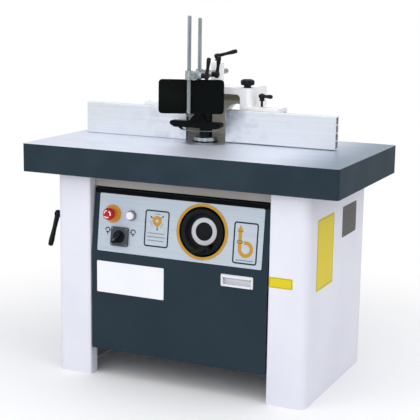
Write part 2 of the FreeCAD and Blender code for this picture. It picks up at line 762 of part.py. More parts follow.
def make_door():
    pan = prism("door_pan", "x", f"-{DOOR_HALF}", DOOR_HALF, door_profile("0", "door_depth"))
    inside = prism("door_inside", "x", f"door_sheet - {DOOR_HALF}", f"{DOOR_HALF} - door_sheet",
                   door_profile("door_sheet", "(door_depth + 1)"))
    knuckles = []
    for height in ("hinge_low", "hinge_high"):
        for low, high in ((f"{height} - hinge_plate / 2 - knuckle_height",
                           f"{height} - hinge_plate / 2 - handle_gap"),
                          (f"{height} + hinge_plate / 2 + handle_gap",
                           f"{height} + hinge_plate / 2 + knuckle_height")):
            knuckles.append(prism("knuckle", "z", low, high, rectangle(
                f"{HINGE_X} - hinge_pin - 3", f"{DOOR_FRONT} + door_sheet / 2",
                f"{HINGE_X} + hinge_pin + 3", f"{HINGE_Y} + hinge_pin + 2")))
    shell = fuse("door_shell", cut("door_tray", pan, inside), *knuckles)
    cuts = [console_rod("wheel_window_cut", "wheel_window + 2", "-door_depth", "5", "wheel_u", "wheel_v")]
    for u, v, radius in (("estop_u", "button_v", "estop_stem + button_play"),
                         ("start_u", "button_v", "start_cap / 2 + button_play"),
                         ("selector_u", "selector_v", "selector_shaft + button_play")):
        cuts.append(console_rod("control_hole", radius, "-door_depth", "5", u, v))
    cuts.append(box("pull_cut", "pull_x - pull_width / 2 + pull_rim - pull_wall", f"{DOOR_FRONT} - 1",
                    "pull_height - pull_tall / 2 + pull_rim - pull_wall",
                    "pull_x + pull_width / 2 - pull_rim + pull_wall", f"{DOOR_FRONT} + door_sheet + 1",
                    "pull_height + pull_tall / 2 - pull_rim + pull_wall"))
    for height in ("hinge_low", "hinge_high"):
        cuts.append(rod("pin_hole", "z", "hinge_pin + shaft_play", f"{height} - 40", f"{height} + 40",
                        HINGE_X, HINGE_Y))
        cuts.append(box("hinge_notch", f"-{DOOR_HALF} - 1", f"{DOOR_FRONT} + door_sheet + 0.5",
                        f"{height} - hinge_plate / 2 - 3", f"door_sheet + 1 - {DOOR_HALF}",
                        f"{DOOR_FRONT} + door_depth + 1", f"{height} + hinge_plate / 2 + 3"))
    node("front_door", cut("front_door", shell, *cuts))

    hinges = []
    for height in ("hinge_low", "hinge_high"):
        plate = prism("hinge_leaf", "z", f"{height} - hinge_plate / 2", f"{height} + hinge_plate / 2", [
            (f"{HINGE_X} - hinge_pin - 2", f"{HINGE_Y} - hinge_pin - 2", "hinge_pin + 1"),
            (f"{HINGE_X} + hinge_pin + 3", f"{HINGE_Y} - hinge_pin - 2", "hinge_pin + 1"),
            (f"{HINGE_X} + hinge_pin + 3", f"{HINGE_Y} + hinge_reach"),
            (f"-{LEG_INNER}", f"{HINGE_Y} + hinge_reach"),
            (f"-{LEG_INNER}", f"{HINGE_Y} + hinge_reach - 16"),
            (f"{HINGE_X} - hinge_pin - 2", f"{HINGE_Y} + hinge_reach - 16")])
        pin = rod("hinge_pin_bar", "z", "hinge_pin", f"{height} - hinge_plate / 2 - knuckle_height",
                  f"{height} + hinge_plate / 2 + knuckle_height", HINGE_X, HINGE_Y)
        hinges.append(fuse("hinge", plate, pin))
    node("door_hinges", group("door_hinges", *hinges))

    low, high = "-pull_width / 2", "pull_width / 2"
    rim = prism("pull_rim_plate", "z", "0", "pull_wall",
                rectangle(low, "-pull_tall / 2", high, "pull_tall / 2", "4"))
    cup = prism("pull_cup", "z", "-pull_depth", "pull_wall / 2", rectangle(
        f"{low} + pull_rim - pull_wall / 2", "-pull_tall / 2 + pull_rim - pull_wall / 2",
        f"{high} - pull_rim + pull_wall / 2", "pull_tall / 2 - pull_rim + pull_wall / 2"))
    hollow = prism("pull_hollow", "z", "pull_wall - pull_depth", "pull_wall + 1", rectangle(
        f"{low} + pull_rim + pull_wall / 2", "-pull_tall / 2 + pull_rim + pull_wall / 2",
        f"{high} - pull_rim - pull_wall / 2", "pull_tall / 2 - pull_rim - pull_wall / 2", "3"))
    pull = cut("door_pull", fuse("pull_pressing", rim, cup), hollow)
    node("door_pull", place(pull, "pull_x", DOOR_FRONT, "pull_height", (1, 0, 0), 90))


# Console plate, switches and buttons

def make_controls():
    half = "plate_width / 2"
    holes = [("wheel_u", "wheel_v", "wheel_window"), ("estop_u", "button_v", "estop_stem + button_play"),
             ("start_u", "button_v", "start_cap / 2 + button_play"),
             ("selector_u", "selector_v", "selector_shaft + button_play")]
    plate = prism("control_plate", "z", "0", "plate_thickness",
                  rectangle(f"-{half}", "plate_low", half, "plate_low + plate_tall", "plate_corner"), *holes)
    node("control_plate", on_console(plate, "0", "0"))

    face = "plate_thickness"
    trim = prism("handwheel_trim", "z", face, f"{face} + trim_thickness",
                 ("0", "0", "wheel_window + trim_width"), ("0", "0", "wheel_window"))
    node("handwheel_trim", on_console(trim, "wheel_u", "wheel_v"))

    base = turned("estop_base", [
        ("estop_stem + button_play", face), ("estop_plate", face), ("estop_plate", f"{face} + 3"),
        ("estop_bezel", f"{face} + 3"), ("estop_bezel - 2", f"{face} + 12"),
        ("estop_stem + button_play", f"{face} + 12")])
    node("estop_base", on_console(base, "estop_u", "button_v"))
    lift = f"({face} + 12 + estop_travel + 1)"
    head = turned("estop_button", [
        ("0", "-16"), ("estop_stem", "-16"), ("estop_stem", lift), ("estop_head - 3", lift),
        ("estop_head", f"{lift} + 4", "2"), ("estop_head", f"{lift} + 15", "3"),
        ("estop_head - 5", f"{lift} + 22", "6"), ("0", f"{lift} + 24")])
    node("estop_button", on_console(head, "estop_u", "button_v"))

    bezel = turned("start_bezel", [
        ("start_cap / 2 + button_play", face), ("start_bezel_radius", face),
        ("start_bezel_radius", f"{face} + 5"), ("start_bezel_radius - 2", f"{face} + 8"),
        ("start_cap + button_play", f"{face} + 8"), ("start_cap + button_play", f"{face} + 2"),
        ("start_cap / 2 + button_play", f"{face} + 2")])
    node("start_bezel", on_console(bezel, "start_u", "button_v"))
    under = f"({face} + 2 + start_travel + 0.5)"
    cap = turned("start_button", [
        ("0", "-14"), ("start_cap / 2", "-14"), ("start_cap / 2", under), ("start_cap", under),
        ("start_cap", f"{under} + 10", "1.5"), ("0", f"{under} + 10")])
    node("start_button", on_console(cap, "start_u", "button_v"))

    side = "selector_plate / 2"
    plate = prism("switch_plate", "z", face, f"{face} + 8",
                  rectangle(f"-{side}", f"-{side}", side, side, "6"),
                  ("0", "0", "selector_shaft + button_play"))
    node("switch_plate", on_console(plate, "selector_u", "selector_v"))
    top = f"({face} + 8.4)"
    skirt = turned("knob_skirt", [
        ("0", "-20"), ("selector_shaft", "-20"), ("selector_shaft", top), ("selector_knob_radius", top),
        ("selector_knob_radius - 2", f"{top} + 6"), ("0", f"{top} + 6")])
    grip = prism("knob_grip", "z", f"{top} + 5", f"{top} + 22", rectangle(
        "-6.5", "-selector_knob_radius - 3", "6.5", "selector_knob_radius - 2", "5"))
    place(grip, axis=(0, 0, 1), angle="-35")
    node("selector_knob", on_console(fuse("selector_knob", skirt, grip), "selector_u", "selector_v"))

    blocks = []
    for u, v, width, bore in (("estop_u", "button_v", "40", "estop_stem + button_play"),
                              ("start_u", "button_v", "30", "start_cap / 2 + button_play"),
                              ("selector_u", "selector_v", "50", "selector_shaft + button_play")):
        blocks.append(prism("contact_block", "z", "-door_sheet - block_depth", "-door_sheet",
                            rectangle(f"{u} - {width} / 2", f"{v} - {width} / 2", f"{u} + {width} / 2",
                                      f"{v} + {width} / 2", "3"),
                            (u, v, bore)))
    node("contact_blocks", on_console(group("contact_blocks", *blocks), "0", "0"))


# Handwheel, its folding handle and its shaft

def make_handwheel():
    front = "(wheel_proud - wheel_dish)"
    seat = f"({front} - dial_thickness)"
    back = f"({seat} - wheel_back)"
    inner = "(wheel_radius - wheel_rim)"
    disc = turned("wheel_disc", [
        ("shaft_radius + shaft_play", f"{back} - 8"), ("24", f"{back} - 8", "2"), ("28", back, "3"),
        (f"{inner} - 2", f"{back} + 2", "4"), ("wheel_radius - 4", f"{front} - 2", "6"),
        ("wheel_radius", "wheel_proud - 8", "3"), ("wheel_radius", "wheel_proud", "6"),
        (inner, "wheel_proud", "5"), (f"{inner} - 6", front, "4"), ("dial_radius + 0.3", front),
        ("dial_radius + 0.3", seat), ("dial_bore - 0.3", seat), ("dial_bore - 0.3", f"{front} + 1"),
        ("0", f"{front} + 1"), ("0", f"{front} - hub_skin"),
        ("shaft_radius + shaft_play", f"{front} - hub_skin")])
    level = "(wheel_proud + handle_gap + handle_radius)"
    spot = ("handle_offset * cos(handle_phase)", "handle_offset * sin(handle_phase)")
    ears = [box("handle_ear", "-ear_reach", f"{side} * ear_spread - ear_thickness / 2", f"{front} - 4",
                "ear_reach", f"{side} * ear_spread + ear_thickness / 2", f"{level} + ear_reach")
            for side in (1, -1)]
    eyes = rod("ear_eyes", "y", "handle_pin + shaft_play", "-2 * ear_spread", "2 * ear_spread", "0", level)
    fork = place(cut("handle_fork", group("handle_ears", *ears), eyes), *spot, "0", (0, 0, 1), "handle_turn")
    node("handwheel", on_console(fuse("handwheel", disc, fork), "wheel_u", "wheel_v"))
    dial = turned("wheel_dial",
                  [("dial_bore", seat), ("dial_radius", seat), ("dial_radius", front), ("dial_bore", front)])
    node("wheel_dial", on_console(dial, "wheel_u", "wheel_v"))

    node("wheel_shaft", console_rod("wheel_shaft", "shaft_radius", f"{GEAR_BACK} - gear_hub - {SHAFT_REACH}",
                                    f"{front} - hub_skin - shaft_play", "wheel_u", "wheel_v"))
    neck = "(ear_spread - ear_thickness / 2 - 0.2)"
    grip = turned("handle_grip", [
        ("0", "-handle_pin - 1"), (neck, "-handle_pin - 1"), (neck, "2 * ear_reach - 2"),
        ("handle_radius - 2", "2 * ear_reach", "2"),
        ("handle_radius", "handle_length * 0.6", "20"), ("handle_radius - 2", "handle_length", "4"),
        ("0", "handle_length + 1")])
    place(grip, "0", "0", "0", (0, 1, 0), 90)
    reach = "ear_spread + ear_thickness / 2"
    handle = fuse("crank_fold", grip, rod("crank_pin", "y", "handle_pin", f"-({reach})", reach, "0", "0"))
    place(handle, *spot, level, (0, 0, 1), "handle_turn")
    node("crank_handle", on_console(group("crank_handle", handle), "wheel_u", "wheel_v"))


# Bevel gears, lifting screw and their bracket

def bevel_gear(name, bore, phase):
    """A bevel gear with its apex at the origin and its back along +Z."""
    teeth = count("gear_teeth")
    cone = math.radians(number(CONE))
    far = number(PITCH) / math.sin(cone)
    near = far - number("gear_face")
    module = number("gear_module")
    rise, fall = 0.8 * module, 1.1 * module
    along = V(math.sin(cone), 0, math.cos(cone))
    above = V(math.cos(cone), 0, -math.sin(cone))
    half = math.pi * module / 4 - number("gear_backlash") / 2
    slope = math.tan(math.radians(20))

    def section(distance):
        share = distance / far
        spots = [(-fall - 0.5, half + slope * fall), (rise, half - slope * rise)]
        corners = [along * distance + above * (height * share) + V(0, side * width * share, 0)
                   for height, width, side in ((*spots[0], -1), (*spots[0], 1), (*spots[1], 1),
                                               (*spots[1], -1))]
        return Part.makePolygon(corners + corners[:1])

    tooth = Part.makeLoft([section(near), section(far)], True, True)
    root_far = along * far - above * fall
    root_near = along * near - above * fall
    blank = Part.makeCone(root_near.x, root_far.x, root_far.z - root_near.z, V(0, 0, root_near.z))
    hub = Part.makeCylinder(root_far.x * 0.72, number("gear_hub"), V(0, 0, root_far.z))
    parts = [hub]
    for step in range(teeth):
        turned_tooth = tooth.copy()
        turned_tooth.rotate(V(), V(0, 0, 1), 360.0 * (step + phase) / teeth)
        parts.append(turned_tooth)
    solid = blank.fuse(parts).cut(Part.makeCylinder(bore, 4 * far))
    gear = doc.addObject("Part::Feature", name)
    gear.Shape = solid.removeSplitter()
    return gear


def make_lift():
    bore = number("shaft_radius + shaft_play")
    # the teeth of the pair face each other in the plane of both axes, a tooth against a gap
    pinion = bevel_gear("bevel_pinion", bore, 0.25)
    node("bevel_pinion", on_console(pinion, "wheel_u", "wheel_v", f"-{SHAFT_REACH}"))
    gear = bevel_gear("bevel_gear", bore, 0.25)
    node("bevel_gear", place(gear, "wheel_u", "screw_y", GEAR_Z, (1, 0, 0), 180))

    arm_top = f"({SCREW_TOP} - handle_gap)"
    arm_low = f"({arm_top} - bracket_arm)"
    foot_top = "(screw_foot + foot_bearing)"
    screw = turned("lift_screw", [
        ("0", "screw_foot"), ("shaft_radius - 1", "screw_foot"),
        ("shaft_radius - 1", f"{foot_top} + handle_gap"),
        ("screw_radius", f"{foot_top} + handle_gap"), ("screw_radius", f"{arm_low} - handle_gap"),
        ("shaft_radius", f"{arm_low} - handle_gap"), ("shaft_radius", f"{SCREW_TOP} + gear_hub"),
        ("0", f"{SCREW_TOP} + gear_hub")])
    node("lift_screw", place(screw, "wheel_u", "screw_y"))

    side = f"({WAY_RIGHT} + bracket_plate)"
    plate = box("bracket_side", WAY_RIGHT, "way_front - bracket_ahead", "screw_foot - bracket_drop", side,
                "way_front + bracket_behind", f"{GEAR_Z} + bracket_rise")
    end = ("wheel_u + arm_past_x", "screw_y + arm_past_y")
    upper = box("bracket_upper", WAY_RIGHT, "way_front", arm_low, *end, arm_top)
    lower = box("bracket_lower", WAY_RIGHT, "way_front", "screw_foot - bracket_drop", *end, foot_top)
    bush_low = f"({GEAR_BACK} + handle_gap - {SHAFT_REACH})"
    bush_high = f"({bush_low} + bracket_arm)"
    bush = console_rod("bush", "shaft_radius + bush_wall", bush_low, bush_high, "wheel_u", "wheel_v")
    arm = prism("bush_arm", "z", bush_low, bush_high,
                rectangle(f"{WAY_RIGHT} + 1", "wheel_v - bush_arm / 2", "wheel_u", "wheel_v + bush_arm / 2"))
    bracket = fuse("bracket_casting", plate, upper, lower, bush, on_console(arm, "0", "0"))
    bores = [console_rod("bush_bore", "shaft_radius + shaft_play", f"{bush_low} - 1", f"{bush_high} + 1",
                         "wheel_u", "wheel_v"),
             rod("upper_bore", "z", "shaft_radius + shaft_play", f"{arm_low} - 1", f"{arm_top} + 1",
                 "wheel_u", "screw_y"),
             rod("lower_bore", "z", "shaft_radius - 1 + shaft_play", "screw_foot - bracket_drop - 1",
                 f"{foot_top} + 1", "wheel_u", "screw_y")]
    node("gear_bracket", cut("gear_bracket", bracket, *bores))

    nut = turned("lift_nut", [
        ("screw_radius + 2 * shaft_play", "lug_bottom - nut_flange_thickness"),
        ("nut_flange", "lug_bottom - nut_flange_thickness"), ("nut_flange", "lug_bottom"),
        ("nut_radius - shaft_play", "lug_bottom"), ("nut_radius - shaft_play", "lug_bottom + lug_height"),
        ("screw_radius + 2 * shaft_play", "lug_bottom + lug_height")])
    node("lift_nut", place(nut, "wheel_u", "screw_y"))


# Slide way and spindle carriage

def dovetail(play):
    return [(f"spindle_x - dovetail_root - {play}", WAY_FACE),
            (f"spindle_x + dovetail_root + {play}", WAY_FACE),
            (f"spindle_x + dovetail_tip + {play}", f"{WAY_FACE} + dovetail_depth + {play}"),
            (f"spindle_x - dovetail_tip - {play}", f"{WAY_FACE} + dovetail_depth + {play}")]


def make_slide():
    rail = prism("way_rail", "z", "way_bottom", WAY_TOP, [
        (WAY_LEFT, "way_front"), (WAY_RIGHT, "way_front"), (WAY_RIGHT, WAY_FACE), *dovetail("0")[1:],
        dovetail("0")[0], (WAY_LEFT, WAY_FACE)])
    flange = box("way_flange", WAY_LEFT, "way_front - way_flange_reach", f"{WAY_TOP} - way_flange_thickness",
                 WAY_RIGHT, "way_front + 1", WAY_TOP)
    outer, inner = f"{WAY_LEFT} - lock_boss_reach", f"{WAY_LEFT} + lock_boss_bite"
    boss = box("lock_boss", outer, "way_front + lock_boss_inset", "lock_height - lock_boss_tall / 2", inner,
               f"{LOCK_Y} + lock_boss_back", "lock_height + lock_boss_tall / 2")
    bore = rod("lock_bore", "x", "lock_radius + shaft_play", f"{outer} - 1", f"{inner} + 1", LOCK_Y,
               "lock_height")
    node("slide_way", cut("slide_way", fuse("way_casting", rail, flange, boss), bore))

    face = f"({WAY_FACE} + slide_gap)"
    block = prism("slide_block", "z", "slide_bottom", "slide_top", rectangle(
        SLIDE_LEFT, face, "spindle_x + slide_width / 2", f"{face} + slide_depth"))
    groove = prism("slide_groove", "z", "slide_bottom - 1", "slide_top + 1", dovetail("slide_play"))
    web = box("carriage_web", "spindle_x - web_thickness / 2", f"{face} + slide_depth - 1", "barrel_bottom",
              "spindle_x + web_thickness / 2", "spindle_y", "web_top")
    barrel = rod("barrel", "z", "barrel_radius", "barrel_bottom", "barrel_top", "spindle_x", "spindle_y")
    arm = box("nut_arm", "spindle_x + slide_width / 2 - 5", "screw_y - 18", "lug_bottom", "wheel_u",
              "screw_y + 18", "lug_bottom + lug_height")
    lug = rod("nut_lug", "z", "nut_radius + 8", "lug_bottom", "lug_bottom + lug_height", "wheel_u",
              "screw_y")
    pad_x = f"({MOTOR_X} - motor_radius - motor_foot - motor_plate_thickness)"
    pad = box("motor_pad", f"{pad_x} - 12", "spindle_y - 55", "motor_plate_bottom + 8", pad_x,
              "spindle_y + 55", "motor_plate_top - 8")
    rib = box("motor_rib", "spindle_x + 30", "spindle_y - 16", "motor_plate_bottom + 8", f"{pad_x} - 6",
              "spindle_y + 16", "motor_plate_top - 8")
    casting = fuse("carriage_casting", cut("slide_grooved", block, groove), web, barrel, arm, lug, pad, rib)
    bores = [rod("barrel_bore_cut", "z", "barrel_bore", "barrel_bottom - 1", "barrel_top + 1", "spindle_x",
                 "spindle_y"),
             rod("low_seat", "z", "bearing_radius", "barrel_bottom - 1", "barrel_bottom + bearing_height",
                 "spindle_x", "spindle_y"),
             rod("high_seat", "z", "bearing_radius", "barrel_top - bearing_height", "barrel_top + 1",
                 "spindle_x", "spindle_y"),
             rod("nut_bore", "z", "nut_radius", "lug_bottom - 1", "lug_bottom + lug_height + 1", "wheel_u",
                 "screw_y")]
    node("spindle_carriage", cut("spindle_carriage", casting, *bores))

    races = []
    for low in ("barrel_bottom", "barrel_top - bearing_height"):
        race = turned("bearing", [
            ("journal + shaft_play", "0"), ("bearing_radius - shaft_play", "0"),
            ("bearing_radius - shaft_play", "bearing_height"), ("journal + shaft_play", "bearing_height")])
        races.append(place(race, "spindle_x", "spindle_y", low))
    node("spindle_bearings", group("spindle_bearings", *races))

    slots = []
    for y in ("-35", "35"):
        for z in ("motor_plate_bottom + 40", "motor_plate_top - 40"):
            slots.append(rectangle(f"spindle_y + {y} - 14", f"{z} - 5", f"spindle_y + {y} + 14", f"{z} + 5",
                                   "4.9"))
    plate = prism("motor_plate", "x", pad_x, f"{pad_x} + motor_plate_thickness", rectangle(
        "spindle_y - motor_plate_width / 2", "motor_plate_bottom", "spindle_y + motor_plate_width / 2",
        "motor_plate_top", "8"), *slots)
    node("motor_plate", plate)


# Spindle and its tooling

def make_spindle():
    low = "(barrel_bottom + bearing_height + 0.4)"
    high = "(barrel_top - bearing_height - 0.4)"
    pulley_top = "(pulley_bottom + 2 * pulley_step)"
    flange = "(table_height + flange_lift)"
    top = f"({COLLAR_TOP} + nut_height + 6)"
    shaft = turned("spindle_shaft", [
        ("0", "spindle_foot"), ("journal - 3", "spindle_foot"), ("journal - 3", pulley_top),
        ("journal", pulley_top), ("journal", low), ("shoulder", low), ("shoulder", high), ("journal", high),
        ("journal", "barrel_top + 2"), ("shoulder", "barrel_top + 2"), ("shoulder", f"{flange} - 10"),
        ("flange_radius - 6", flange), ("flange_radius", flange), ("flange_radius", FLANGE_TOP, "1.5"),
        ("arbor", FLANGE_TOP), ("arbor", f"{top} - 2"), ("arbor - 2", top), ("0", top)])
    node("spindle_shaft", place(shaft, "spindle_x", "spindle_y"))
    collars = []
    for step in range(count("collar_count")):
        collar = turned("collar", [
            ("arbor + shaft_play", "0"), ("collar_radius", "0", "0.8"),
            ("collar_radius", "collar_height", "0.8"), ("arbor + shaft_play", "collar_height")])
        collars.append(place(collar, "spindle_x", "spindle_y",
                             f"{FLANGE_TOP} + collar_gap / 2 + {step} * (collar_height + collar_gap)"))
    node("spacer_collars", group("spacer_collars", *collars))
    hexagon = [(f"1.55 * arbor * cos({60 * i})", f"1.55 * arbor * sin({60 * i})") for i in range(6)]
    nut = prism("spindle_nut", "z", COLLAR_TOP, f"{COLLAR_TOP} + nut_height", hexagon,
                ("0", "0", "arbor + shaft_play"))
    node("spindle_nut", place(nut, "spindle_x", "spindle_y"))


# Belt drive and motor

def pulley(name, bore, low_radius, high_radius):
    """A two-step V pulley; the belt groove of each step is open to the rim."""
    corners = [(bore, "0")]
    for step, radius in enumerate((low_radius, high_radius)):
        middle = f"({step} + 0.5) * pulley_step"
        mouth = "(belt_width / 2 + belt_play)"
        floor = "(belt_width / 2 - 0.32 * belt_thickness + belt_play)"
        corners += [(radius, f"{step} * pulley_step"), (radius, f"{middle} - {mouth}"),
                    (f"{radius} - belt_thickness - 2", f"{middle} - {floor} + 0.6"),
                    (f"{radius} - belt_thickness - 2", f"{middle} + {floor} - 0.6"),
                    (radius, f"{middle} + {mouth}"), (radius, f"({step} + 1) * pulley_step")]
    corners.append((bore, "2 * pulley_step"))
    return turned(name, corners)


def make_belt_drive():
    spindle = pulley("spindle_pulley", "journal - 3 + shaft_play", "spindle_pulley_large",
                     "spindle_pulley_small")
    node("spindle_pulley", place(spindle, "spindle_x", "spindle_y", "pulley_bottom"))
    motor = pulley("motor_pulley", "motor_shaft_radius + shaft_play", "motor_pulley_small",
                   "motor_pulley_large")
    node("motor_pulley", place(motor, MOTOR_X, "spindle_y", "pulley_bottom"))
    shaft = rod("motor_shaft", "z", "motor_shaft_radius", "pulley_bottom - 4",
                "motor_bottom + motor_shaft_depth - motor_shaft_gap", MOTOR_X, "spindle_y")
    node("motor_shaft", shaft)

    thick = number("belt_thickness")
    near = number("spindle_pulley_small") - thick / 2
    far = number("motor_pulley_large") - thick / 2
    span = number("motor_distance")
    lean = math.asin((far - near) / span)
    across = V(-math.sin(lean), math.cos(lean), 0)
    mirrored = V(across.x, -across.y, 0)
    centre = V(span, 0, 0)
    path = Part.Wire([
        Part.LineSegment(across * near, centre + across * far).toShape(),
        Part.Arc(centre + across * far, centre + V(far, 0, 0), centre + mirrored * far).toShape(),
        Part.LineSegment(centre + mirrored * far, mirrored * near).toShape(),
        Part.Arc(mirrored * near, V(-near, 0, 0), across * near).toShape()])
    wide = number("belt_width") / 2
    narrow = wide - 0.32 * thick
    corners = [across * (near + rise) + V(0, 0, up) for rise, up in (
        (thick / 2, wide), (thick / 2, -wide), (-thick / 2, -narrow), (-thick / 2, narrow))]
    belt = doc.addObject("Part::Feature", "drive_belt")
    belt.Shape = path.makePipeShell([Part.makePolygon(corners + corners[:1])], True, False)
    node("drive_belt", place(belt, "spindle_x", "spindle_y", "pulley_bottom + 1.5 * pulley_step"))

    frame = doc.addObject("PartDesign::Body", "motor_frame")
    profile = draw(frame, "XZ_Plane", "0", [[
        ("motor_shaft_radius + shaft_play", "0"), ("motor_radius - motor_end_inset", "0", "motor_end_round"),
        ("motor_radius - fin_height", "motor_end_slope", "motor_end_round"),
        ("motor_radius - fin_height", "motor_length"), ("fan_cover_radius", "motor_length"),
        ("fan_cover_radius", "motor_length + fan_cover", "fan_cover_round"),
        ("0", "motor_length + fan_cover"), ("0", "motor_shaft_depth"),
        ("motor_shaft_radius + shaft_play", "motor_shaft_depth")]])
    turn = frame.newObject("PartDesign::Revolution", "motor_turn")
    turn.Profile = profile
    turn.ReferenceAxis = (profile, ["V_Axis"])
    turn.Angle = 360
    fin_sketch = draw(frame, "XY_Plane", "fin_start", [rectangle(
        "motor_radius - fin_height - fin_root", "-fin_thickness / 2", "motor_radius", "fin_thickness / 2")])
    fin = frame.newObject("PartDesign::Pad", "fin")
    fin.Profile = fin_sketch
    fin.setExpression("Length", sized("motor_length - fin_start - fin_end"))
    fins = frame.newObject("PartDesign::PolarPattern", "fins")
    fins.Originals = [fin]
    fins.Axis = (fin_sketch, ["N_Axis"])
    fins.Angle = 360
    fins.setExpression("Occurrences", sized("fin_count"))
    frame.Tip = fins
    place(frame, MOTOR_X, "spindle_y", "motor_bottom")
    foot = box("motor_feet", f"{MOTOR_X} - motor_radius - motor_foot", "spindle_y - motor_feet_width / 2",
               "motor_bottom + motor_feet_inset", f"{MOTOR_X} - motor_radius + motor_feet_bite",
               "spindle_y + motor_feet_width / 2", "motor_bottom + motor_length - motor_feet_inset")
    terminals = box("terminal_box", f"{MOTOR_X} + motor_radius - terminal_bite",
                    "spindle_y - terminal_width / 2", "motor_bottom + terminal_low",
                    f"{MOTOR_X} + motor_radius + terminal_out", "spindle_y + terminal_width / 2",
                    "motor_bottom + terminal_low + terminal_tall")
    node("motor", fuse("motor", frame, foot, terminals))


# Clamp levers: the hub stands on Z, the arm leaves it along X and rises

def clamp_lever(name, hub, height, arm, rise, root, tip, stud, stud_length, stem="0", swing="0"):
    """A stud, a waisted hub with a rounded head, and a hand grip that swells towards its end."""
    top = f"({stem} + {height})"
    body = turned(name + "_hub", [
        ("0", f"-({stud_length})"), (stud, f"-({stud_length})"), (stud, stem), (f"{hub} * 0.75", stem),
        (f"{hub} * 0.66", f"{stem} + {height} * 0.3"), (hub, f"{stem} + {height} * 0.55", f"{hub} * 0.4"),
        (hub, f"{stem} + {height} * 0.85", f"{hub} * 0.3"), (f"{hub} * 0.6", top, f"{hub} * 0.2"),
        ("0", top)])
    grip = turned(name + "_arm", [
        ("0", "0"), (root, "0"), (f"{root} * 0.82", f"{arm} * 0.45", f"{arm} * 0.3"),
        (tip, f"{arm} * 0.82", f"{arm} * 0.12"), (f"{tip} * 0.86", f"{arm} * 0.97", f"{tip} * 0.2"),
        ("0", arm)])
    place(grip, "0", "0", f"{stem} + {height} * 0.7", (0, 1, 0), f"90 - {rise}")
    return place(fuse(name + "_lever", body, grip), axis=(0, 0, 1), angle=swing)


def make_lock():
    lever = clamp_lever("lock", "lock_hub_radius", "lock_hub_length", "lock_arm", "lock_rise", "lock_root",
                        "lock_tip", "lock_radius", f"lock_hub_out + {SLIDE_LEFT} - lock_gap + {STAND_SIDE}",
                        swing="lock_lean")
    node("lock_lever", place(group("lock_lever", lever), f"-{STAND_SIDE} - lock_hub_out", LOCK_Y,
                             "lock_height", (1, 0, -1), 180))


# Fence, chip hood and their clamps

def make_fence(name, side, lift):
    near = f"spindle_x + {side} * fence_opening / 2"
    far = f"spindle_x + {side} * (fence_opening / 2 + fence_length)"
    bottom = f"(table_height + {lift})"
    chambers = count("fence_chambers")
    tall = f"((fence_height - ({chambers} + 1) * fence_wall) / {chambers})"
    loops = [rectangle("fence_y", bottom, "fence_y + fence_thickness", f"{bottom} + fence_height", "1.5")]
    for step in range(chambers):
        low = f"{bottom} + fence_wall + {step} * ({tall} + fence_wall)"
        loops.append(rectangle("fence_y + fence_wall", low, "fence_y + fence_thickness - fence_wall",
                               f"{low} + {tall}", "2"))
    ends = (near, far) if side > 0 else (far, near)
    node(name, prism(name, "x", *ends, *loops))

    back = "fence_y + fence_thickness"
    start = f"(hood_width / 2 + fence_in + 2)"
    xs = [f"spindle_x + {side} * {start}", f"spindle_x + {side} * ({start} + bracket_length)"]
    top = "(table_height + wing_top - wing_thickness - bracket_gap)"
    ends = xs if side > 0 else xs[::-1]
    angle = prism(name + "_angle", "x", *ends, [
        (back, "table_height + 12"), (f"{back} + bracket_thickness", "table_height + 12"),
        (f"{back} + bracket_thickness", f"{top} - bracket_thickness", "4"),
        ("slot_y + 20", f"{top} - bracket_thickness"), ("slot_y + 20", top), (back, top)])
    hole = rod(name + "_stud_hole", "z", "lever_stud + shaft_play", f"{top} - bracket_thickness - 1",
               f"{top} + 1", f"spindle_x + {side} * {FENCE_LEVER_X}", "slot_y")
    node(name + "_bracket", cut(name + "_bracket", angle, hole))
    lever = clamp_lever(name + "_clamp", "lever_hub", "lever_hub_height", "fence_lever_arm",
                        "fence_lever_rise", "lever_root", "lever_tip", "lever_stud",
                        "wing_thickness + bracket_gap + bracket_thickness + lever_lift", "fence_lever_stem",
                        "-fence_lever_swing" if side > 0 else "left_lever_swing")
    node(name + "_lever",
         place(group(name + "_lever", lever), f"spindle_x + {side} * {FENCE_LEVER_X}", "slot_y",
               "table_height + wing_top + lever_lift"))


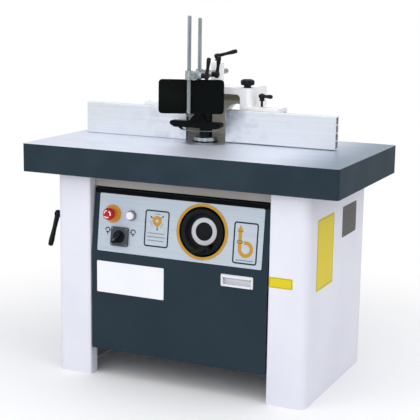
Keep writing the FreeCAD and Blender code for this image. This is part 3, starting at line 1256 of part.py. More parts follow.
def make_hood():
    low, high = "(spindle_x - hood_width / 2)", "(spindle_x + hood_width / 2)"
    back = "(hood_front + hood_depth)"
    bottom = "(table_height + hood_lift)"
    outside = prism("hood_outside", "z", bottom, HOOD_TOP,
                    rectangle(low, "hood_front", high, back, "hood_corner"))
    inside = prism("hood_inside", "z", f"{bottom} - 1", f"{HOOD_TOP} - hood_wall", rectangle(
        f"{low} + hood_wall", "hood_front + hood_wall", f"{high} - hood_wall", f"{back} - hood_wall",
        "hood_corner - hood_wall"))
    wings = []
    for side in (1, -1):
        ends = [f"spindle_x + {side} * (hood_width / 2 - hood_wall)",
                f"spindle_x + {side} * (hood_width / 2 + wing_length)"]
        ends = ends if side > 0 else ends[::-1]
        wings.append(prism("wing", "x", *ends, [
            ("hood_front", "table_height + wing_top - wing_thickness"),
            ("hood_front + wing_depth - wing_web", "table_height + wing_top - wing_thickness", "6"),
            ("hood_front + wing_depth - wing_web", bottom), ("hood_front + wing_depth", bottom),
            ("hood_front + wing_depth", "table_height + wing_top", "4"),
            ("hood_front", "table_height + wing_top")]))
    shell = fuse("hood_walls", cut("hood_shell", outside, inside), *wings)
    post = rod("hold_down_post", "z", "post_radius", f"{HOOD_TOP} - hood_wall / 2",
               f"{HOOD_TOP} + post_height", BAR_X, "post_y")
    port = rod("dust_port", "y", "port_radius", f"{back} - hood_wall / 2", f"{back} + port_length",
               "spindle_x + port_offset", "table_height + port_height")
    casting = fuse("hood_casting", shell, post, port)
    mouth = prism("mouth", "y", "hood_front - 2", "hood_front + hood_wall + 2", [
        ("spindle_x - mouth_width / 2", "table_height - 5"),
        ("spindle_x + mouth_width / 2", "table_height - 5"),
        ("spindle_x + mouth_width / 2", "table_height + mouth_height", "mouth_corner"),
        ("spindle_x - mouth_width / 2", "table_height + mouth_height", "mouth_corner")])
    cuts = [mouth,
            rod("port_bore", "y", "port_radius - port_wall", f"{back} - hood_wall - 1",
                f"{back} + port_length + 1", "spindle_x + port_offset", "table_height + port_height"),
            rod("bar_bore", "y", "bar_radius + shaft_play", "post_y - post_radius - 1",
                "post_y + post_radius + 1", BAR_X, BAR_Z),
            rod("post_stud_bore", "z", "lever_stud + shaft_play", BAR_Z, f"{HOOD_TOP} + post_height + 1",
                BAR_X, "post_y")]
    for side in (1, -1):
        stud = f"spindle_x + {side} * stud_x"
        cuts.append(prism("stud_slot", "z", f"{HOOD_TOP} - hood_wall - 1", f"{HOOD_TOP} + 1", rectangle(
            f"{stud} - stud_radius - 0.5", "stud_y - stud_radius - 0.5", f"{stud} + stud_radius + 0.5",
            "stud_y + hood_travel + stud_radius + 0.5", "stud_radius")))
        ends = [f"spindle_x + {side} * ({FENCE_LEVER_X} - fence_in - slot_width / 2)",
                f"spindle_x + {side} * ({FENCE_LEVER_X} + fence_out + slot_width / 2)"]
        ends = ends if side > 0 else ends[::-1]
        cuts.append(prism("wing_slot", "z", "table_height + wing_top - wing_thickness - 1",
                          "table_height + wing_top + 1",
                          rectangle(ends[0], "slot_y - slot_width / 2", ends[1], "slot_y + slot_width / 2",
                                    "slot_width * 0.49")))
    node("fence_hood", cut("fence_hood", casting, *cuts))

    studs = []
    for side, name, stem, height in ((1, "right_hood_knob", "knob_stem", "knob_height"),
                                     (-1, "left_hood_knob", "low_knob_stem", "low_knob_height")):
        x = f"spindle_x + {side} * stud_x"
        studs.append(rod("hood_stud", "z", "stud_radius", "table_height - stud_depth",
                         f"{HOOD_TOP} + lever_lift + {stem} + {height} * 0.6", x, "stud_y"))
        hub = turned("knob_hub", [
            ("0", "0"), ("stud_radius + 7", "0"), ("stud_radius + 6", stem), ("knob_radius - 3", stem),
            ("knob_radius", f"{stem} + {height} * 0.2", f"{height} * 0.1"),
            ("knob_radius", f"{stem} + {height} * 0.75", f"{height} * 0.15"),
            ("knob_radius - 8", f"{stem} + {height}", f"{height} * 0.3"), ("0", f"{stem} + {height}")])
        flutes = []
        for lobe in range(count("knob_lobes")):
            turn = f"({360 * lobe} / knob_lobes)"
            flutes.append(rod("flute", "z", "knob_radius * 0.22", f"{stem} - 1", f"{stem} + {height} + 1",
                              f"knob_radius * 1.08 * cos({turn})", f"knob_radius * 1.08 * sin({turn})"))
        bore = rod("knob_bore", "z", "stud_radius + shaft_play", "-1", f"{stem} + {height} * 0.6 + 0.5")
        knob = cut(name, hub, bore, *flutes)
        node(name, place(knob, x, "stud_y", f"{HOOD_TOP} + lever_lift"))
    node("hood_studs", group("hood_studs", *studs))

    lever = clamp_lever("post_clamp", "lever_hub", "lever_hub_height", "post_lever_arm", "post_lever_rise",
                        "lever_root", "lever_tip", "lever_stud",
                        f"{HOOD_TOP} + post_height - {BAR_Z} - bar_radius - 0.5 + lever_lift",
                        "post_lever_stem")
    node("post_lever", place(group("post_lever", lever), BAR_X, "post_y",
                             f"{HOOD_TOP} + post_height + lever_lift"))


# Hold-down: bar, cross clamps, guard plate and pressure shoe

def cross_clamp(y):
    """Two crossed bosses, one round the upright rod and one round the bar, joined by a web."""
    side = f"({BAR_X} + clamp_right)"
    upright = rod("rod_boss", "z", "clamp_boss", f"{BAR_Z} - clamp_height / 2",
                  f"{BAR_Z} + clamp_height / 2", ROD_X, y)
    level = rod("bar_boss", "y", "bar_radius + clamp_wall", f"{y} - clamp_depth / 2",
                f"{y} + clamp_depth / 2", BAR_X, BAR_Z)
    ear = rod("lever_boss", "x", "lever_hub * 0.8", BAR_X, side, y, BAR_Z)
    web = box("clamp_web", ROD_X, f"{y} - clamp_web / 2", f"{BAR_Z} - clamp_height / 3", BAR_X,
              f"{y} + clamp_web / 2", f"{BAR_Z} + clamp_height / 3")
    bores = [rod("rod_bore", "z", "rod_radius + shaft_play", f"{BAR_Z} - clamp_height",
                 f"{BAR_Z} + clamp_height", ROD_X, y),
             rod("bar_hole", "y", "bar_radius + shaft_play", f"{y} - clamp_depth", f"{y} + clamp_depth",
                 BAR_X, BAR_Z),
             rod("stud_bore", "x", "lever_stud + shaft_play", BAR_X, f"{side} + 1", y, BAR_Z)]
    return cut("cross_clamp", fuse("clamp_casting", upright, level, ear, web), *bores)


def round_ended_rod(name, foot, length, y):
    profile = [("0", "0"), ("rod_radius", "0"), ("rod_radius", length, "rod_end"), ("0", length)]
    node(name, place(turned(name, profile), ROD_X, y, foot))


def make_hold_down():
    node("hold_down_bar", rod("hold_down_bar", "y", "bar_radius", "bar_front", "bar_back", BAR_X, BAR_Z))
    blocks = []
    for name, y in (("guard", "guard_rod_y"), ("shoe", "shoe_rod_y")):
        blocks.append(cross_clamp(y))
        lever = clamp_lever(name + "_clamp", "lever_hub", "lever_hub_height", "lever_arm", "clamp_rise",
                            "lever_root", "lever_tip", "lever_stud",
                            "clamp_right - bar_radius - lever_stud_gap + lever_lift")
        node(name + "_lever",
             place(group(name + "_lever", lever), f"{BAR_X} + clamp_right + lever_lift", y, BAR_Z,
                   (1, 0, 1), 180))
    node("cross_clamps", group("cross_clamps", *blocks))

    foot = "(table_height + guard_rod_foot)"
    round_ended_rod("guard_rod", foot, "rod_length", "guard_rod_y")
    left, right = "-guard_left", "guard_right"
    bottom = "(table_height + guard_bottom)"
    sheet_back = "(rod_radius + guard_gap + guard_thickness)"
    leaf = prism("guard_leaf", "y", "rod_radius + guard_gap", sheet_back, rectangle(
        left, bottom, right, f"{bottom} + guard_tall", "guard_corner"))
    saddles = [box("saddle", "-guard_block / 2 - saddle_wall", "0", f"{bottom} + {low}",
                   "guard_block / 2 + saddle_wall", "rod_radius + guard_gap + 1",
                   f"{bottom} + {low} + guard_block")
               for low in ("saddle_low", "guard_tall - guard_block - saddle_drop")]
    bore = rod("saddle_bore", "z", "rod_radius + shaft_play", f"{bottom} - 1", f"{bottom} + guard_tall + 1")
    guard = cut("guard_plate", fuse("guard_pressing", leaf, *saddles), bore)
    node("guard_plate", place(guard, ROD_X, "guard_rod_y", "0", (0, 0, 1), "guard_turn"))

    foot = "(table_height + shoe_rod_foot)"
    round_ended_rod("shoe_rod", foot, "shoe_rod_length", "shoe_rod_y")
    low = "(table_height + shoe_bottom)"
    high = f"({low} + shoe_thickness)"
    left, right = f"({ROD_X} - shoe_left)", f"({ROD_X} - shoe_left + shoe_length)"
    bar = prism("shoe_bar", "y", "shoe_rod_y - shoe_depth / 2", "shoe_rod_y + shoe_depth / 2", [
        (f"{left} + 16", low, "8"), (f"{right} - 16", low, "8"), (right, f"{low} + 9", "6"),
        (right, high, "8"), (left, high, "8"), (left, f"{low} + 9", "6")])
    web = prism("shoe_gusset", "y", "shoe_rod_y - rod_radius - 4", "shoe_rod_y + rod_radius + 4", [
        (f"{ROD_X} - shoe_web / 2", f"{high} - 1"), (f"{ROD_X} + shoe_web / 2", f"{high} - 1"),
        (f"{ROD_X} + rod_radius + 5", f"{high} + shoe_web_rise"),
        (f"{ROD_X} - rod_radius - 5", f"{high} + shoe_web_rise")])
    socket = rod("shoe_socket", "z", "rod_radius + shaft_play", foot, f"{high} + shoe_web_rise + 1", ROD_X,
                 "shoe_rod_y")
    node("pressure_shoe", cut("pressure_shoe", fuse("shoe_casting", bar, web), socket))
    strip = [("16", "0"), ("30", "0"), ("44", "leaf_drop"), ("shoe_length - 52", "leaf_drop"),
             ("shoe_length - 30", "leaf_drop * 0.7"), ("shoe_length - 12", "leaf_drop * 0.1")]
    lower = [(f"{left} + {along}", f"{low} - leaf_thickness - {drop}") for along, drop in strip]
    upper = [(f"{left} + {along}", f"{low} - {drop}") for along, drop in reversed(strip)]
    node("leaf_spring", prism("leaf_spring", "y", "shoe_rod_y - shoe_depth / 2 + 3",
                              "shoe_rod_y + shoe_depth / 2 - 3", lower + upper))


make_table()
make_stand()
make_door()
make_controls()
make_handwheel()
make_lift()
make_slide()
make_spindle()
make_belt_drive()
make_lock()
make_fence("right_fence", 1, "right_fence_lift")
make_fence("left_fence", -1, "left_fence_lift")
make_hood()
make_hold_down()
doc.recompute()

failed = [obj.Name for obj in doc.Objects if "Invalid" in obj.State or "Error" in obj.State]
failed += [name for name, obj in NODES.items()
           if obj.Shape.isNull() or not obj.Shape.isValid() or not obj.Shape.Solids]
if failed:
    raise RuntimeError("pieces that did not build: " + ", ".join(failed))
os.makedirs("parts", exist_ok=True)
for name, obj in NODES.items():
    obj.Shape.exportStep(f"parts/{name}.step")
print(len(NODES), "nodes,", sum(len(obj.Shape.Solids) for obj in NODES.values()), "solids")
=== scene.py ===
"""Looks of the spindle moulder: finishes, signs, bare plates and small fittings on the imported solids."""
import json
import math

import bmesh
import bpy
from mathutils import Matrix, Vector
from mathutils.bvhtree import BVHTree

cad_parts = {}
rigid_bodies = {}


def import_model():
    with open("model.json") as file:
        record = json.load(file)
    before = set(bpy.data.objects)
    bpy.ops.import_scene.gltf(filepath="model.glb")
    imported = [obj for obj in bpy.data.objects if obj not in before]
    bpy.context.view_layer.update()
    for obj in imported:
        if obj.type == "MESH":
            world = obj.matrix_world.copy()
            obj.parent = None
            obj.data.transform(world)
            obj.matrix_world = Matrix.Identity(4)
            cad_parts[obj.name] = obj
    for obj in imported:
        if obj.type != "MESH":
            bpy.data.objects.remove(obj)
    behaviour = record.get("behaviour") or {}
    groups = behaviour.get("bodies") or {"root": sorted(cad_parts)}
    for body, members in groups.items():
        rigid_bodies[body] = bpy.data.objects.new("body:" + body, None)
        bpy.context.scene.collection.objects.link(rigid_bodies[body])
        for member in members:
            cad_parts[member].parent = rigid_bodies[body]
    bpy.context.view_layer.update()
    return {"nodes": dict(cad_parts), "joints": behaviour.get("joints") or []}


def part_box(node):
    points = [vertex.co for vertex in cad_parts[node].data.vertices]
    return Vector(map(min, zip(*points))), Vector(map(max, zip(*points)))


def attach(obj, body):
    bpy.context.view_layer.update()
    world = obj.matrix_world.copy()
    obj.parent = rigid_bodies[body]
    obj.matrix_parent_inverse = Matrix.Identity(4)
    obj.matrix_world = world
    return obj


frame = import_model()
NODES = frame["nodes"]

# Places on the machine, in metres: (x, y) seen from above, or (u, v) on the leaning console
SPINDLE = (-0.05, 0.063)
HOOD_MIDDLE = (-0.05, 0.175)
ESTOP = (-0.246, 0.139)
SELECTOR = (-0.214, 0.065)

# Where a finish begins and where it is full, in metres: a coordinate, or a distance from a middle
TABLE_GROUND = (0.772, 0.776)
# The painted reflection that darkens the table's top towards its right end
TABLE_PAINTED_REFLECTION = (0.3, 0.57)
RAIL_WHITE = (-0.02, 0.02)
HOOD_HOLLOW = (0.0124, 0.0116)
HOOD_ROOF = (0.9735, 0.9725)
# Height where the painted shadow inside the hood's roof begins and where it is full
HOOD_ROOF_SHADOW = (0.915, 0.925)
FENCE_HANDLED = (0.34, 0.09)
FENCE_END = (0.024, 0.03)
FENCE_END_FADE = (0.12, 0.03)
FENCE_UPPER = (0.81, 0.88)
PULL_HOLLOW = (-0.2572, -0.2545)
# Heights of the painted shadow in the pull's hollow, below its top lip
PULL_SHADOW_BAND = (0.394, 0.402)
FLOOR_WHITE = (0.75, 1.7)

# Half width and half depth of the hood's hollow, without its rounded corners
HOOD_CORE = (0.134, 0.067)

# Spans of a noise that a finish takes up
LINE_SPAN = (0.3, 0.7)
CLOUD_SPAN = (0.35, 0.75)

# Sockets of a Mix node that take and give colours
MIX_FIRST, MIX_SECOND, MIX_RESULT = 6, 7, 2

EDGE_SAMPLES = 4
WHITE = (1.0, 1.0, 1.0, 1.0)


# Finishes

def grow(tree, kind, settings=None, inputs=None):
    """A new node in a tree: its settings first, then the values or links of its sockets."""
    node = tree.nodes.new(kind)
    for key, value in (settings or {}).items():
        setattr(node, key, value)
    for key, value in (inputs or {}).items():
        if isinstance(value, bpy.types.NodeSocket):
            tree.links.new(value, node.inputs[key])
        else:
            node.inputs[key].default_value = value
    return node


def tone(red, green, blue):
    """A colour given in screen values from 0 to 255."""
    def linear(value):
        value = value / 255
        return value / 12.92 if value <= 0.04045 else ((value + 0.055) / 1.055) ** 2.4
    return (linear(red), linear(green), linear(blue), 1.0)


class Field:
    """A value that changes over a surface. Sums and products of fields add Math nodes."""

    def __init__(self, paint, socket):
        self.paint = paint
        self.socket = socket

    def maths(self, operation, first, second=0.0):
        return self.paint.add("ShaderNodeMath", {"operation": operation}, {0: first, 1: second})

    def __add__(self, other):
        return self.maths("ADD", self, other)

    def __radd__(self, other):
        return self.maths("ADD", other, self)

    def __sub__(self, other):
        return self.maths("SUBTRACT", self, other)

    def __rsub__(self, other):
        return self.maths("SUBTRACT", other, self)

    def __mul__(self, other):
        return self.maths("MULTIPLY", self, other)

    def __rmul__(self, other):
        return self.maths("MULTIPLY", other, self)

    def __abs__(self):
        return self.maths("ABSOLUTE", self)

    def at_least(self, other):
        return self.maths("MAXIMUM", self, other)

    def root(self):
        return self.maths("SQRT", self)


class Paint:
    """One procedural finish: its node tree, and the shader that the tree feeds."""

    def __init__(self, name):
        self.material = bpy.data.materials.new(name)
        self.material.use_nodes = True
        self.tree = self.material.node_tree
        self.tree.nodes.clear()
        self.place = self.add("ShaderNodeTexCoord", output="Object")

    def add(self, kind, settings=None, inputs=None, output=0):
        """One node of the finish, and the field that it gives out."""
        given = {}
        for key, value in (inputs or {}).items():
            given[key] = value.socket if isinstance(value, Field) else value
        node = grow(self.tree, kind, settings, given)
        return Field(self, node.outputs[output]) if node.outputs else None

    def axis(self, letter, source=None):
        return self.add("ShaderNodeSeparateXYZ", inputs={0: source or self.place}, output=letter)

    def scaled(self, x, y, z):
        return self.add("ShaderNodeMapping", inputs={"Vector": self.place, "Scale": (x, y, z)})

    def noise(self, scale, detail=2.0, place=None):
        return self.add("ShaderNodeTexNoise", inputs={
            "Vector": place or self.place, "Scale": scale, "Detail": detail})

    def ramp(self, value, low, high):
        """0 at low and before it, 1 at high and past it, smooth between them."""
        return self.add("ShaderNodeMapRange", {"interpolation_type": "SMOOTHSTEP"}, {
            "Value": value, "From Min": low, "From Max": high})

    def mix(self, mask, first, second):
        return self.add("ShaderNodeMix", {"data_type": "RGBA"}, {
            0: mask, MIX_FIRST: first, MIX_SECOND: second}, MIX_RESULT)

    def eased(self, radius):
        """The surface's direction, as if its edges were rounded."""
        return self.add("ShaderNodeBevel", {"samples": EDGE_SAMPLES}, {"Radius": radius})

    def edge(self, radius):
        """1 along the sharp edges, 0 on the flats."""
        flat = self.add("ShaderNodeNewGeometry", output="Normal")
        near = self.add("ShaderNodeVectorMath", {"operation": "DOT_PRODUCT"}, {
            0: self.eased(radius), 1: flat}, "Value")
        return self.ramp(near, 0.995, 0.86)

    def bump(self, height, distance, radius=None):
        inputs = {"Height": height, "Distance": distance, "Strength": 1.0}
        if radius:
            inputs["Normal"] = self.eased(radius)
        return self.add("ShaderNodeBump", inputs=inputs)

    def shade(self, colour, roughness, **sockets):
        inputs = {"Base Color": colour, "Roughness": roughness}
        inputs.update({key.replace("_", " "): value for key, value in sockets.items()})
        shader = self.add("ShaderNodeBsdfPrincipled", inputs=inputs)
        self.add("ShaderNodeOutputMaterial", inputs={"Surface": shader})
        return self.material

    def sprayed(self, colour, grain, depth, gloss, shine):
        """Paint with a fine pebbled skin over this colour."""
        pebble = self.noise(grain, 1.0)
        return self.shade(colour, gloss + pebble * 0.16, Normal=self.bump(pebble, depth, 0.0015),
                          Specular_IOR_Level=shine)


def powder_coat(name, colour, shade, grain=1100.0, depth=0.00025, gloss=0.42, shine=0.4):
    """Sprayed and baked paint: a fine pebbled skin, faint clouds of tone, thin rubbed edges."""
    paint = Paint(name)
    cloud = paint.ramp(paint.noise(4.0, 3.0), *CLOUD_SPAN)
    base = paint.mix(cloud * 0.7, colour, shade)
    rubbed = paint.edge(0.002) * paint.ramp(paint.noise(60.0, 3.0), 0.45, 0.7)
    base = paint.mix(rubbed * 0.35, base, tone(150, 152, 156))
    return paint.sprayed(base, grain, depth, gloss, shine)


def rail_coat(name):
    """The rails: white paint with painted shade, a grey-beige, on the front one; the stand's white at the
    back.
    """
    paint = Paint(name)
    cloud = paint.ramp(paint.noise(5.0, 3.0), *CLOUD_SPAN)
    # Painted shade: the front rail's white paint darkened to grey-beige, as it lies in shade below the table.
    grey = paint.mix(cloud, tone(172, 169, 165), tone(158, 155, 151))
    base = paint.mix(paint.ramp(paint.axis("Y"), *RAIL_WHITE), grey, tone(227, 228, 238))
    return paint.sprayed(base, 1100.0, 0.00022, 0.44, 0.2)


def ground_table(name):
    """Cast iron table: top ground bright along its length, with long bands partly of painted reflection, and
    darker towards its right end by painted reflection; sides slate.
    """
    paint = Paint(name)
    upward = paint.axis("Z", paint.add("ShaderNodeTexCoord", output="Normal"))
    top = paint.ramp(upward, 0.8, 0.95) * paint.ramp(paint.axis("Z"), *TABLE_GROUND)
    marks = paint.noise(1.0, 3.0, paint.scaled(9.0, 900.0, 60.0))
    ground_bands_and_painted_reflection = paint.noise(1.0, 2.0, paint.scaled(1.6, 26.0, 8.0))
    cloud = paint.noise(3.5, 4.0)
    steel = paint.mix(paint.ramp(marks, 0.3, 0.75), tone(197, 203, 215), tone(216, 221, 232))
    # Long bands along the length: ground bands, partly painted reflection.
    steel = paint.mix(paint.ramp(ground_bands_and_painted_reflection, 0.5, 0.85) * 0.4, steel, tone(180, 188, 203))
    steel = paint.mix(paint.ramp(cloud, 0.56, 0.8) * 0.35, steel, tone(182, 188, 198))
    # Painted reflection: the ground top darkened towards its right end, with its edge wavering along the long
    # bands.
    stain_and_painted_reflection = paint.ramp(paint.axis("X") + ground_bands_and_painted_reflection * 0.05, *TABLE_PAINTED_REFLECTION)
    steel = paint.mix(stain_and_painted_reflection * 0.9, steel, tone(104, 120, 138))
    pebble = paint.noise(800.0, 1.0)
    slate = paint.mix(paint.ramp(paint.noise(9.0, 4.0), 0.35, 0.7), SLATE, tone(43, 57, 67))
    rubbed = paint.edge(0.003) * paint.ramp(paint.noise(40.0, 3.0), *LINE_SPAN)
    slate = paint.mix(rubbed * 0.3, slate, tone(104, 114, 122))
    colour = paint.mix(top, slate, steel)
    height = marks * top + pebble * (1 - top)
    roughness = top * (0.36 + marks * 0.16) + (1 - top) * (0.5 + pebble * 0.14)
    return paint.shade(colour, roughness, Metallic=top * 0.7, Normal=paint.bump(height, 0.00012, 0.002),
                       Specular_IOR_Level=0.09)


def drawn_metal(name, colour, dark, along, roughness=0.3, metallic=1.0, spots=0.25):
    """Metal with fine lines along one axis and a little handling."""
    paint = Paint(name)
    stretch = {"x": (4.0, 700.0, 700.0), "y": (700.0, 4.0, 700.0), "z": (700.0, 700.0, 4.0)}[along]
    lines = paint.noise(1.0, 2.0, paint.scaled(*stretch))
    handled = paint.ramp(paint.noise(22.0, 4.0), 0.52, 0.8)
    base = paint.mix(paint.ramp(lines, *LINE_SPAN), dark, colour)
    base = paint.mix(handled * spots, base, dark)
    return paint.shade(base, roughness + lines * 0.12 + handled * 0.12, Metallic=metallic,
                       Normal=paint.bump(lines, 0.00004, 0.0006))


def turned_metal(name, colour, dark, roughness=0.3, rings=1500.0):
    """Metal turned on a lathe: fine rings round the spindle's axis."""
    paint = Paint(name)
    x = paint.axis("X") - SPINDLE[0]
    y = paint.axis("Y") - SPINDLE[1]
    radius = (x * x + y * y).root()
    around = paint.add("ShaderNodeCombineXYZ", inputs={0: radius * rings, 1: paint.axis("Z") * rings})
    cut = paint.noise(1.0, 1.0, around)
    stain_and_painted_reflection = paint.ramp(paint.noise(30.0, 4.0), 0.5, 0.8)
    base = paint.mix(paint.ramp(cut, *LINE_SPAN), dark, colour)
    base = paint.mix(stain_and_painted_reflection * 0.3, base, dark)
    return paint.shade(base, roughness + cut * 0.1 + stain_and_painted_reflection * 0.12, Metallic=1.0,
                       Normal=paint.bump(cut, 0.00004, 0.0006))


def threaded_metal(name, colour, dark, pitch):
    """Steel screw with its thread as a relief, one band of a wave texture to a pitch."""
    paint = Paint(name)
    wave = paint.add("ShaderNodeTexWave", {"wave_type": "BANDS", "bands_direction": "Z"}, {
        "Vector": paint.place, "Scale": 2 * math.pi / (20 * pitch)})
    grease = paint.noise(70.0, 3.0)
    base = paint.mix(wave, dark, colour)
    base = paint.mix(paint.ramp(grease, 0.5, 0.75) * 0.5, base, tone(92, 84, 66))
    return paint.shade(base, 0.28 + grease * 0.2, Metallic=1.0, Normal=paint.bump(wave, 0.0009))


def moulded_plastic(name, colour, lighter, roughness=0.36, grain=1400.0, depth=0.00006, shine=0.4):
    """Moulded plastic: even tone, fine sparked grain, edges worn a little lighter."""
    paint = Paint(name)
    pebble = paint.noise(grain, 1.0)
    cloud = paint.noise(14.0, 3.0)
    base = paint.mix(paint.ramp(cloud, 0.4, 0.8) * 0.6, colour, lighter)
    worn = paint.edge(0.0015) * paint.ramp(paint.noise(90.0, 2.0), 0.4, 0.7)
    base = paint.mix(worn * 0.4, base, lighter)
    return paint.shade(base, roughness + pebble * 0.14 + cloud * 0.06,
                       Normal=paint.bump(pebble, depth, 0.0012), Specular_IOR_Level=shine)


def hood_coat(name):
    """The chip hood: white outside; inside, white paint with painted shade: a khaki painted shadow at the
    roof and a cream tint below it.
    """
    paint = Paint(name)
    z = paint.axis("Z")
    side, end = [(abs(paint.axis(letter) - middle) - half).at_least(0.0)
                 for letter, middle, half in zip("XY", HOOD_MIDDLE, HOOD_CORE)]
    wall = (side * side + end * end).root()
    inside = paint.ramp(wall, *HOOD_HOLLOW) * paint.ramp(z, *HOOD_ROOF)
    cloud = paint.ramp(paint.noise(4.0, 3.0), *CLOUD_SPAN)
    white = paint.mix(cloud * 0.7, tone(246, 245, 246), tone(239, 238, 241))
    # Painted shade inside the hood: a khaki painted shadow of the roof near its top, and a cream tint below
    # it, for white paint lying in shade.
    roof_shadow = paint.ramp(z + paint.noise(30.0, 3.0) * 0.008, *HOOD_ROOF_SHADOW)
    painted_inside_shade = paint.mix(roof_shadow, tone(252, 247, 232), tone(184, 178, 150))
    painted_inside_shade = paint.mix(cloud * 0.25, painted_inside_shade, tone(200, 194, 172))
    base = paint.mix(inside, white, painted_inside_shade)
    base = paint.mix(paint.edge(0.002) * 0.2, base, tone(170, 170, 168))
    return paint.sprayed(base, 900.0, 0.0002, 0.4, 0.4)


def rough_casting(name, colour, dark):
    """Painted grey iron casting with a sand skin."""
    paint = Paint(name)
    sand = paint.noise(420.0, 4.0)
    cloud = paint.ramp(paint.noise(12.0, 3.0), *CLOUD_SPAN)
    base = paint.mix(cloud, colour, dark)
    base = paint.mix(paint.edge(0.0025) * 0.45, base, tone(120, 124, 128))
    return paint.shade(base, 0.5 + sand * 0.2, Metallic=0.25, Normal=paint.bump(sand, 0.0004, 0.002))


def fence_aluminium(name):
    """Extruded, satin anodised aluminium: lines along its length, finger marks at the cutter's end."""
    paint = Paint(name)
    x = paint.axis("X")
    lines = paint.noise(1.0, 2.0, paint.scaled(3.0, 620.0, 620.0))
    near = paint.ramp(abs(x - SPINDLE[0]), *FENCE_HANDLED)
    smudge = paint.ramp(paint.noise(24.0, 4.0, paint.scaled(1.0, 1.0, 1.3)), 0.42, 0.72)
    base = paint.mix(paint.ramp(lines, *LINE_SPAN), tone(202, 206, 213), tone(213, 216, 222))
    base = paint.mix(smudge * (0.08 + near * 0.26), base, tone(150, 163, 176))
    corner = paint.ramp(x, *FENCE_END) * paint.ramp(x, *FENCE_END_FADE)
    corner = corner * paint.ramp(paint.axis("Z"), *FENCE_UPPER)
    base = paint.mix(corner * (0.6 + smudge * 0.4), base, tone(106, 124, 140))
    return paint.shade(base, 0.34 + lines * 0.14 + smudge * near * 0.16, Metallic=0.75,
                       Normal=paint.bump(lines, 0.00005, 0.0008))


def silver_foil(name):
    """The console's printed sheet: pale silver, brushed sideways, with broad lighter patches of painted
    highlight.
    """
    paint = Paint(name)
    brushed = paint.noise(1.0, 2.0, paint.scaled(5.0, 900.0, 900.0))
    # Painted highlight: broad lighter patches across the sheet.
    painted_highlight = paint.ramp(paint.noise(2.2, 2.0), *LINE_SPAN)
    base = paint.mix(paint.ramp(brushed, *LINE_SPAN), tone(173, 184, 198), tone(189, 199, 210))
    base = paint.mix(painted_highlight * 0.4, base, tone(194, 201, 209))
    return paint.shade(base, 0.36 + brushed * 0.14, Metallic=0.3, Normal=paint.bump(brushed, 0.00003),
                       Specular_IOR_Level=0.3)


def pull_chrome(name):
    """Satin chrome, darker in the hollow of the pull by a painted shadow just below its top lip."""
    paint = Paint(name)
    lines = paint.noise(1.0, 2.0, paint.scaled(4.0, 700.0, 700.0))
    hollow = paint.ramp(paint.axis("Y"), *PULL_HOLLOW)
    painted_shadow = paint.ramp(paint.axis("Z"), *PULL_SHADOW_BAND)
    base = paint.mix(paint.ramp(lines, *LINE_SPAN), tone(216, 218, 224), tone(232, 233, 238))
    # Painted shadow: the hollow darkened just below the pull's top lip.
    base = paint.mix(hollow * painted_shadow * 0.9, base, tone(88, 90, 98))
    return paint.shade(base, 0.4 + lines * 0.1 + hollow * 0.15, Metallic=0.8 - hollow * 0.6,
                       Normal=paint.bump(lines, 0.00003, 0.0006))


def belt_rubber(name):
    """Black belt with a woven, dusty back."""
    paint = Paint(name)
    weave = paint.add("ShaderNodeTexChecker", inputs={"Vector": paint.place, "Scale": 900.0}, output="Fac")
    dusty = paint.ramp(paint.noise(40.0, 4.0), 0.4, 0.7)
    base = paint.mix(dusty * 0.5, tone(26, 26, 27), tone(58, 56, 54))
    return paint.shade(base, 0.62 + weave * 0.14, Normal=paint.bump(weave, 0.0001))


def printed_ink(name, colour, worn, metallic=0.0, roughness=0.4):
    """Screen-printed ink, a little thin in places."""
    paint = Paint(name)
    thin = paint.ramp(paint.noise(260.0, 4.0), 0.5, 0.75)
    base = paint.mix(thin * 0.35, colour, worn)
    return paint.shade(base, roughness + thin * 0.14, Metallic=metallic, Specular_IOR_Level=0.25)


SLATE = tone(37, 51, 61)
STAND_WHITE = powder_coat("stand_white_coat", tone(229, 230, 240), tone(221, 222, 234), shine=0.3)
HOOD_WHITE = hood_coat("hood_white_coat")
RAIL_PAINTED_SHADE = rail_coat("rail_painted_shade_coat")
DOOR_SLATE = powder_coat("door_slate_coat", SLATE, tone(42, 56, 66), 1300.0, 0.00022, 0.46, shine=0.09)
TABLE_IRON = ground_table("table_ground_iron")
RING_STEEL = turned_metal("table_ring_steel", tone(204, 208, 220), tone(170, 176, 190), 0.3, 2200.0)
SPINDLE_STEEL = turned_metal("spindle_turned_steel", tone(186, 190, 193), tone(124, 129, 133), 0.22)
COLLAR_BLUED = turned_metal("collar_blued_steel", tone(34, 37, 42), tone(18, 20, 24), 0.34)
ROD_ZINC = drawn_metal("rod_zinc_plate", tone(158, 166, 169), tone(86, 95, 100), "z", 0.3, 0.55)
BAR_ZINC = drawn_metal("bar_zinc_plate", tone(152, 160, 163), tone(84, 93, 98), "y", 0.3, 0.6)
CLAMP_ZINC = drawn_metal("clamp_zinc_plate", tone(162, 170, 173), tone(132, 140, 144), "x", 0.3, 0.6)
PULL_CHROME = pull_chrome("pull_chrome")
SCREW_BLACK = drawn_metal("screw_blackened_steel", tone(44, 46, 49), tone(26, 28, 30), "z", 0.36, 0.6)
LEAF_STEEL = drawn_metal("leaf_spring_steel", tone(186, 190, 193), tone(136, 140, 144), "x", 0.3)
PART_STEEL = drawn_metal("machined_steel", tone(176, 180, 186), tone(128, 133, 140), "y", 0.3)
PULLEY_ALLOY = turned_metal("pulley_alloy", tone(188, 191, 196), tone(146, 150, 156), 0.34)
SCREW_THREAD = threaded_metal("lift_screw_thread", tone(182, 184, 188), tone(92, 94, 98), 0.004)
NUT_BRONZE = drawn_metal("nut_bronze", tone(186, 142, 84), tone(132, 96, 52), "x", 0.32)
FENCE_ALLOY = fence_aluminium("fence_aluminium")
CONSOLE_FOIL = silver_foil("console_silver_foil")
TRIM_GOLD = printed_ink("trim_gold", tone(190, 145, 50), tone(152, 112, 36), 0.35, 0.34)
